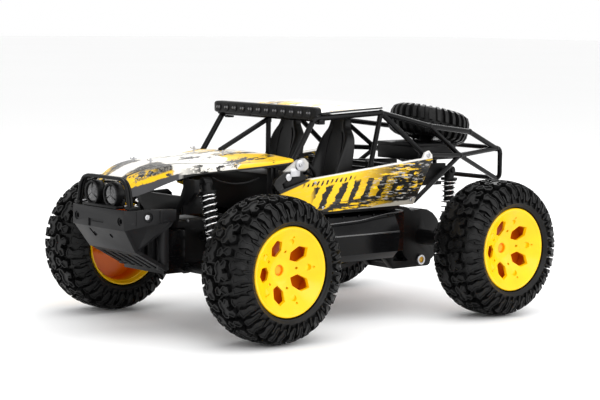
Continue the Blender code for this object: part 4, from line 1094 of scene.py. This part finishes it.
def bumper():
    """The folded bumper, with the recesses of its face, the panel lines of its cheeks and its two posts."""
    shell = rounded_copy("front_bumper", 0.5, 2, 30)
    cutters = []
    for y in (-28.2, 28.2):
        cutters.append(bar(at(199.2, y, 88.2), at(203, y, 88.2), 3.2, 28))
        cutters.append(bar(at(197.6, y, 88.2), at(199.4, y, 88.2), 1.9, 20))
    hook = [(-13.0, 87.6), (7.0, 87.6), (7.0, 85.4), (-9.6, 85.4), (-9.6, 80.4), (-13.0, 80.4)]
    cutters.append(loft([[at(x, y, z) for y, z in hook] for x in (198.9, 203)]))
    slope = Vector((17.5, 0.0, -12.8)).normalized()
    for y in (10.5, -10.5):
        foot = at(199.8 - (FOLD_Z - 75.6) * FOLD_LEAN, y, 75.6)
        cutters.append(bar(foot - slope * 1.2 * MM, foot + slope * 3 * MM, 1.9, 20))
    slit = [(-15.6, 79.6), (-13.4, 79.6), (-11.0, 73.4), (-13.2, 73.4)]
    cutters.append(loft([[at(x - (FOLD_Z - z) * FOLD_LEAN, y, z) for y, z in slit] for x in (198.2, 203)]))
    heads, posts, rings = [], [], []
    for side in SIDES.values():
        cheek = Vector((CHEEK_X, side * CHEEK_Y, 0)).normalized()
        along = Vector((CHEEK_Y, side * -CHEEK_X, 0)).normalized()
        corner = at(200.0, side * 33.5, 0.0)
        for back, wide, sunk in ((9.4, 0.5, 0.5), (27.4, 1.7, 0.9), (30.2, 0.4, 0.4)):
            low = corner - along * back * MM - cheek * sunk * MM - along * wide / 2 * MM
            out, across = cheek * 4 * MM, along * wide * MM
            groove = [low, low + across, low + across + out, low + out]
            cutters.append(loft([[p + Vector((0, 0, z * MM)) for p in groove] for z in (84.6, 95.4)]))
        spot = corner - along * 18.6 * MM + Vector((0, 0, 91.0 * MM))
        cutters.append(bar(spot - cheek * 1.9 * MM, spot + cheek * 3 * MM, 4.0, 32))
        heads += [screw(at(182.2, side * 38.8, 91.0) - cheek * 1.9 * MM, cheek, 2.2),
                  screw(at(194.2, side * 27.6, 99.0), (0, 0, 1), 1.3),
                  screw(at(183.0, side * 27.0, 96.6), (0, 0, 1), 1.3)]
        foot, ring, lift = at(158.2, side * 24.4, 48.9), at(158.2, side * 24.4, 55.0), Vector((0, 0, MM))
        posts.append(bevel(bar(foot, foot + lift * 39.1, 4.7, 36), 0.5))
        rings.append(bar(ring, ring + lift * 1.2, 4.95, 36))
    carve(shell, cutters)
    done(joined([shell, *posts, *rings]), "bumper_shell", "charcoal", "root", ["front_bumper"], 30)
    done(joined(heads), "bumper_screws", "screw", smooth=40)


def seat(label, side):
    """A racing seat: reclined shell with a wide shoulder, bolsters that stand proud, and a lumbar channel."""
    y0 = side * 31
    heights = [(89.4, 16.6, -5.0, 0.0), (97, 16.9, -6.0, 0.9), (108, 17.3, -7.6, 1.0), (119, 17.5, -9.4, 0.95),
               (129, 17.6, -11.0, 0.85), (136, 17.3, -12.2, 0.7), (141, 16.7, -13.0, 0.55),
               (145, 15.2, -13.6, 0.45), (148.5, 12.2, -14.2, 0.36), (151.5, 9.8, -14.8, 0.32),
               (155, 9.2, -15.4, 0.3), (159.2, 8.6, -16.0, 0.2)]
    shares = (-1.0, -0.93, -0.78, -0.62, -0.36, 0.0, 0.36, 0.62, 0.78, 0.93, 1.0)
    depth = (0.3, 1.0, 0.92, 0.22, 0.06, 0.0, 0.06, 0.22, 0.92, 1.0, 0.3)
    rise = (-0.6, 0.6, 1.0, 0.25, 0.0, -0.05, 0.0, 0.25, 1.0, 0.6, -0.6)

    def bolster(z, proud):
        return 15.0 * proud * max(0.35, 1.0 - (z - 97) / 75)

    front_rows = [[at(back + 5.4 + bolster(z, proud) * d, y0 + half * share, z)
                   for share, d in zip(shares, depth)] for z, half, back, proud in heights]
    back_rows = [[at(back - 2.0 * (1 - abs(share) ** 3), y0 + half * share, z) for share in shares]
                 for z, half, back, proud in heights]
    shell = pick(joined([surface(front_rows), surface(back_rows)]))
    bpy.ops.object.mode_set(mode="EDIT")
    bpy.ops.mesh.select_all(action="DESELECT")
    bpy.ops.mesh.select_non_manifold()
    bpy.ops.mesh.bridge_edge_loops()
    bpy.ops.object.mode_set(mode="OBJECT")
    outward(shell)
    squab_rows = [[at(x, y0 + half * share, 89.6 + height * (7.2 + 4.6 * d))
                   for share, d in zip(shares, rise)]
                  for x, height, half in ((-1, 0.2, 13.0), (3, 0.9, 15.6), (12, 1.0, 16.6), (22, 1.0, 16.8),
                                          (27.5, 0.95, 16.6), (29.3, 0.5, 16.0))]
    squab = thicken(outward(surface(squab_rows)), 3.0, 0.0)
    seams = []
    for share in (-0.5, 0.5):
        line = [at(back + 5.9 + bolster(z, proud) * 0.12, y0 + half * share, z)
                for z, half, back, proud in heights[1:9]]
        seams.append(pipe(line, 0.35, smoothness=2, bend_mm=2.0))
    done(joined([shell, squab, *seams]), "bucket_seat_" + label, "seat", "root", ["seat_" + label], 50)


def under_hood():
    """The black moulding between the shock towers, the antenna wire and the posts by the screen pillars."""
    web = [(112, 90), (143, 90), (143, 98), (138, 103), (116, 104), (112, 101)]
    black = []
    for side in SIDES.values():
        black.append(bevel(loft([[at(x, side * y, z) for x, z in web] for y in (26.6, 29.4)]), 0.5))
        for x in (74.0, 78.5):
            low, high = at(x - 1.3, side * 53.5 - 2.6, 100), at(x + 1.3, side * 53.5 + 2.6, 124.5)
            black.append(block(low, high, 0.5))
    done(joined(black), "under_hood_webs", "satin", smooth=32)
    wire = pipe([at(121, 37.0, 117.6), at(116, 39.5, 114.8), at(106, 42.0, 112.6), at(95, 44.5, 112.9),
                 at(84, 47.0, 116.5)], 0.55, bend_mm=7.0, smoothness=5)
    done(wire, "receiver_wire", "charcoal", smooth=60)
    heads = [screw(at(131.2, side * y, z), (1, 0, 0), 1.3) for side in SIDES.values()
             for y, z in ((20.0, 84), (36.0, 108))]
    done(joined(heads), "under_hood_screws", "screw", smooth=40)


def spare_cradle():
    """The dark cradle that carries the spare wheel above the rear deck."""
    parts = [block(at(-150, -26, 131.5), at(-104, 26, 134.5), 0.8)]
    for y in (-24, -8, 8, 24):
        parts.append(block(at(-148, y - 1.4, 120.5), at(-106, y + 1.4, 132), 0.6))
    for x in (-148, -106):
        parts.append(block(at(x - 1.4, -25, 120.5), at(x + 1.4, 25, 132), 0.6))
    done(joined(parts), "spare_cradle", "satin", smooth=32)


def cockpit():
    done(rounded_copy("cockpit_tray", 0.5), "cockpit_moulding", "satin", "root", ["cockpit_tray"])
    slats = []
    for i in range(7):
        z = 92 + 4.6 * i
        slats.append(block(at(-50 - 0.5 * i, -52, z), at(-46.5 - 0.5 * i, 52, z + 2.4), 0.6))
    for y in (-50, -20, 20, 50):
        slats.append(block(at(-54, y - 1.5, 89.2), at(-50.5, y + 1.5, 123), 0.5))
    done(joined(slats), "cockpit_louvres", "satin", "root")
    centre, axis = at(26.0, 31.0, 118.4), Vector((-16.0, 0.0, 9.0)).normalized()
    ring = hoop(centre, axis, 11.9, 1.35, 48, 12)
    hub = bevel(bar(centre - axis * 1.2 * MM, centre + axis * 1.3 * MM, 3.3, 28), 0.4)
    spokes = []
    for i in range(3):
        angle = math.radians(90 + 120 * i)
        spoke = facing(axis) @ Vector((math.cos(angle), math.sin(angle), 0)) * 11.5 * MM
        spokes.append(bar(centre, centre + spoke, 1.15, 12, 0.8))
    done(joined([ring, hub, *spokes]), "steering_wheel_detail", "satin", "root", ["steering_wheel"], 50)


def chassis():
    tub = rounded_copy("chassis_tub", 0.7, 3, 25)
    ribs = []
    for side in SIDES.values():
        for x in (-38, -22, -6, 10, 26):
            low, high = at(x - 0.8, side * 60.5 - 1.5, 79.5), at(x + 0.8, side * 60.5 + 1.5, 84.0)
            ribs.append(block(low, high, 0.3))
    done(joined([tub, *ribs]), "tub_moulding", "gloss", "root", ["chassis_tub"], 30)
    beads = []
    for side in SIDES.values():
        beads.append(pipe([at(-44, side * 68.2, 69), at(32, side * 68.2, 69)], 0.7, smoothness=4))
        beads.append(pipe([at(-52, side * 63.6, 84.6), at(-30, side * 65.2, 83.4), at(-6, side * 66.4, 80.2),
                           at(32, side * 66.8, 79.0)], 0.5, bend_mm=8.0, smoothness=4))
        beads.append(pipe([at(-44, side * 66.6, 61), at(32, side * 66.6, 61)], 0.4, smoothness=3))
    done(joined(beads), "tub_beads", "bead", smooth=50)
    heads = [screw(at(x, side * y, 46.0), (0, 0, -1), 1.7) for side in SIDES.values()
             for x, y in ((-50, 30), (0, 34), (50, 34), (80, 30))]
    done(joined(heads), "chassis_screws", "screw", smooth=40)
    done(block(at(-52, -32, 45.2), at(12, 12, 46.1), 0.4), "battery_hatch", "satin", smooth=40)


BUSH_Z = 35.4


def plain_moulds():
    """CAD nodes whose shape stays, most with softened edges, and the bush in the gearbox."""
    for node, finish, width in (("front_tower", "satin", 0.5), ("rear_tower", "satin", 0.5),
                                ("axle_housing", "satin", 0.5), ("motor", "steel", 0.6)):
        body = "rear_swing" if node in ("axle_housing", "motor") else "root"
        done(rounded_copy(node, width), node + "_moulding", finish, body, [node], 32)
    for label in SIDES:
        for stem in ("lower_arm_", "upper_arm_", "hub_carrier_", "knuckle_", "tie_rod_"):
            done(rounded_copy(stem + label, 0.35), stem + label + "_moulding", "satin", stem + label,
                 [stem + label], 32)
    for node, finish in (("battery_pack", "wrap"), ("receiver_board", "board"), ("steering_servo", "satin"),
                         ("power_switch", "satin"), ("steering_rack", "satin"), ("motor_pinion", "steel"),
                         ("rear_axle", "steel")):
        NODES[node].data.materials.clear()
        NODES[node].data.materials.append(FINISH[finish][1])
    bush = spun([(16.8, 4.3), (18.9, 4.3), (19.2, 4.0), (19.2, 2.9), (18.9, 2.6), (16.8, 2.6)], 36)
    bush.data.transform(Matrix.Translation(at(REAR_AXLE, 0, BUSH_Z)))
    done(bush, "gearbox_bush", "screw", "rear_swing", (), 40)
    core = bar(at(REAR_AXLE, 16.6, BUSH_Z), at(REAR_AXLE, 18.0, BUSH_Z), 2.6, 24)
    done(core, "gearbox_bush_core", "rim", "rear_swing", (), 40)


# ---------------------------------------------------------------- scene


def stage():
    clear_selection()
    bpy.ops.mesh.primitive_plane_add(size=30.0, location=(0, 0, -0.0004))
    floor = bpy.context.object
    floor.name = "floor"
    look = Look("floor paper")
    tone = look.noise(900.0, 2.0)
    paper = look.mix(tone, (0.94, 0.94, 0.94), (0.965, 0.965, 0.965))
    floor.data.materials.append(look.done(Base_Color=paper, Roughness=0.7))
    world = bpy.data.worlds.new("studio")
    bpy.context.scene.world = world
    world.use_nodes = True
    background = world.node_tree.nodes["Background"].inputs
    background["Color"].default_value = (1.0, 1.0, 1.0, 1.0)
    background["Strength"].default_value = 1.0
    bpy.context.scene.view_settings.view_transform = "Standard"
    for name, place, size, power in (("overhead", (0.0, 0.4, 1.5), (1.6, 1.6), 11.0),
                                     ("key", (0.5, 1.7, 0.9), (1.0, 0.9), 9.0),
                                     ("rim", (-1.2, -0.9, 0.9), (0.8, 0.8), 5.0),
                                     ("side", (-0.8, 1.4, 0.6), (0.9, 0.7), 5.0)):
        light = bpy.data.lights.new(name, "AREA")
        light.shape = "RECTANGLE"
        light.size, light.size_y = size
        light.energy = power
        lamp = placed(name, light)
        lamp.location = place
        lamp.rotation_euler = (Vector((0, 0, 0.08)) - Vector(place)).to_track_quat("-Z", "Y").to_euler()


def camera():
    data = bpy.data.cameras.new("view")
    data.lens = 112.45
    data.sensor_width = 36.0
    obj = placed("view", data)
    yaw, pitch, roll = math.radians(49.68), math.radians(5.63), math.radians(0.72)
    back = Vector((math.cos(yaw) * math.cos(pitch), math.sin(yaw) * math.cos(pitch), math.sin(pitch)))
    right = (-back).cross(Vector((0, 0, 1))).normalized()
    up = right.cross(-back)
    right, up = right * math.cos(roll) + up * math.sin(roll), up * math.cos(roll) - right * math.sin(roll)
    matrix = Matrix((right, up, back)).transposed().to_4x4()
    matrix.translation = at(983.6, 1155.5, 240.6)
    obj.matrix_world = matrix
    data.clip_start = 0.05
    bpy.context.scene.camera = obj


camera()
stage()
wheels()
under_hood()
spare_cradle()
spare_wheel()
cage()
shocks()
hood()
roof()
side_panels()
light_bar()
lamps()
bumper()
for seat_label, seat_side in SIDES.items():
    seat(seat_label, seat_side)
cockpit()
chassis()
plain_moulds()
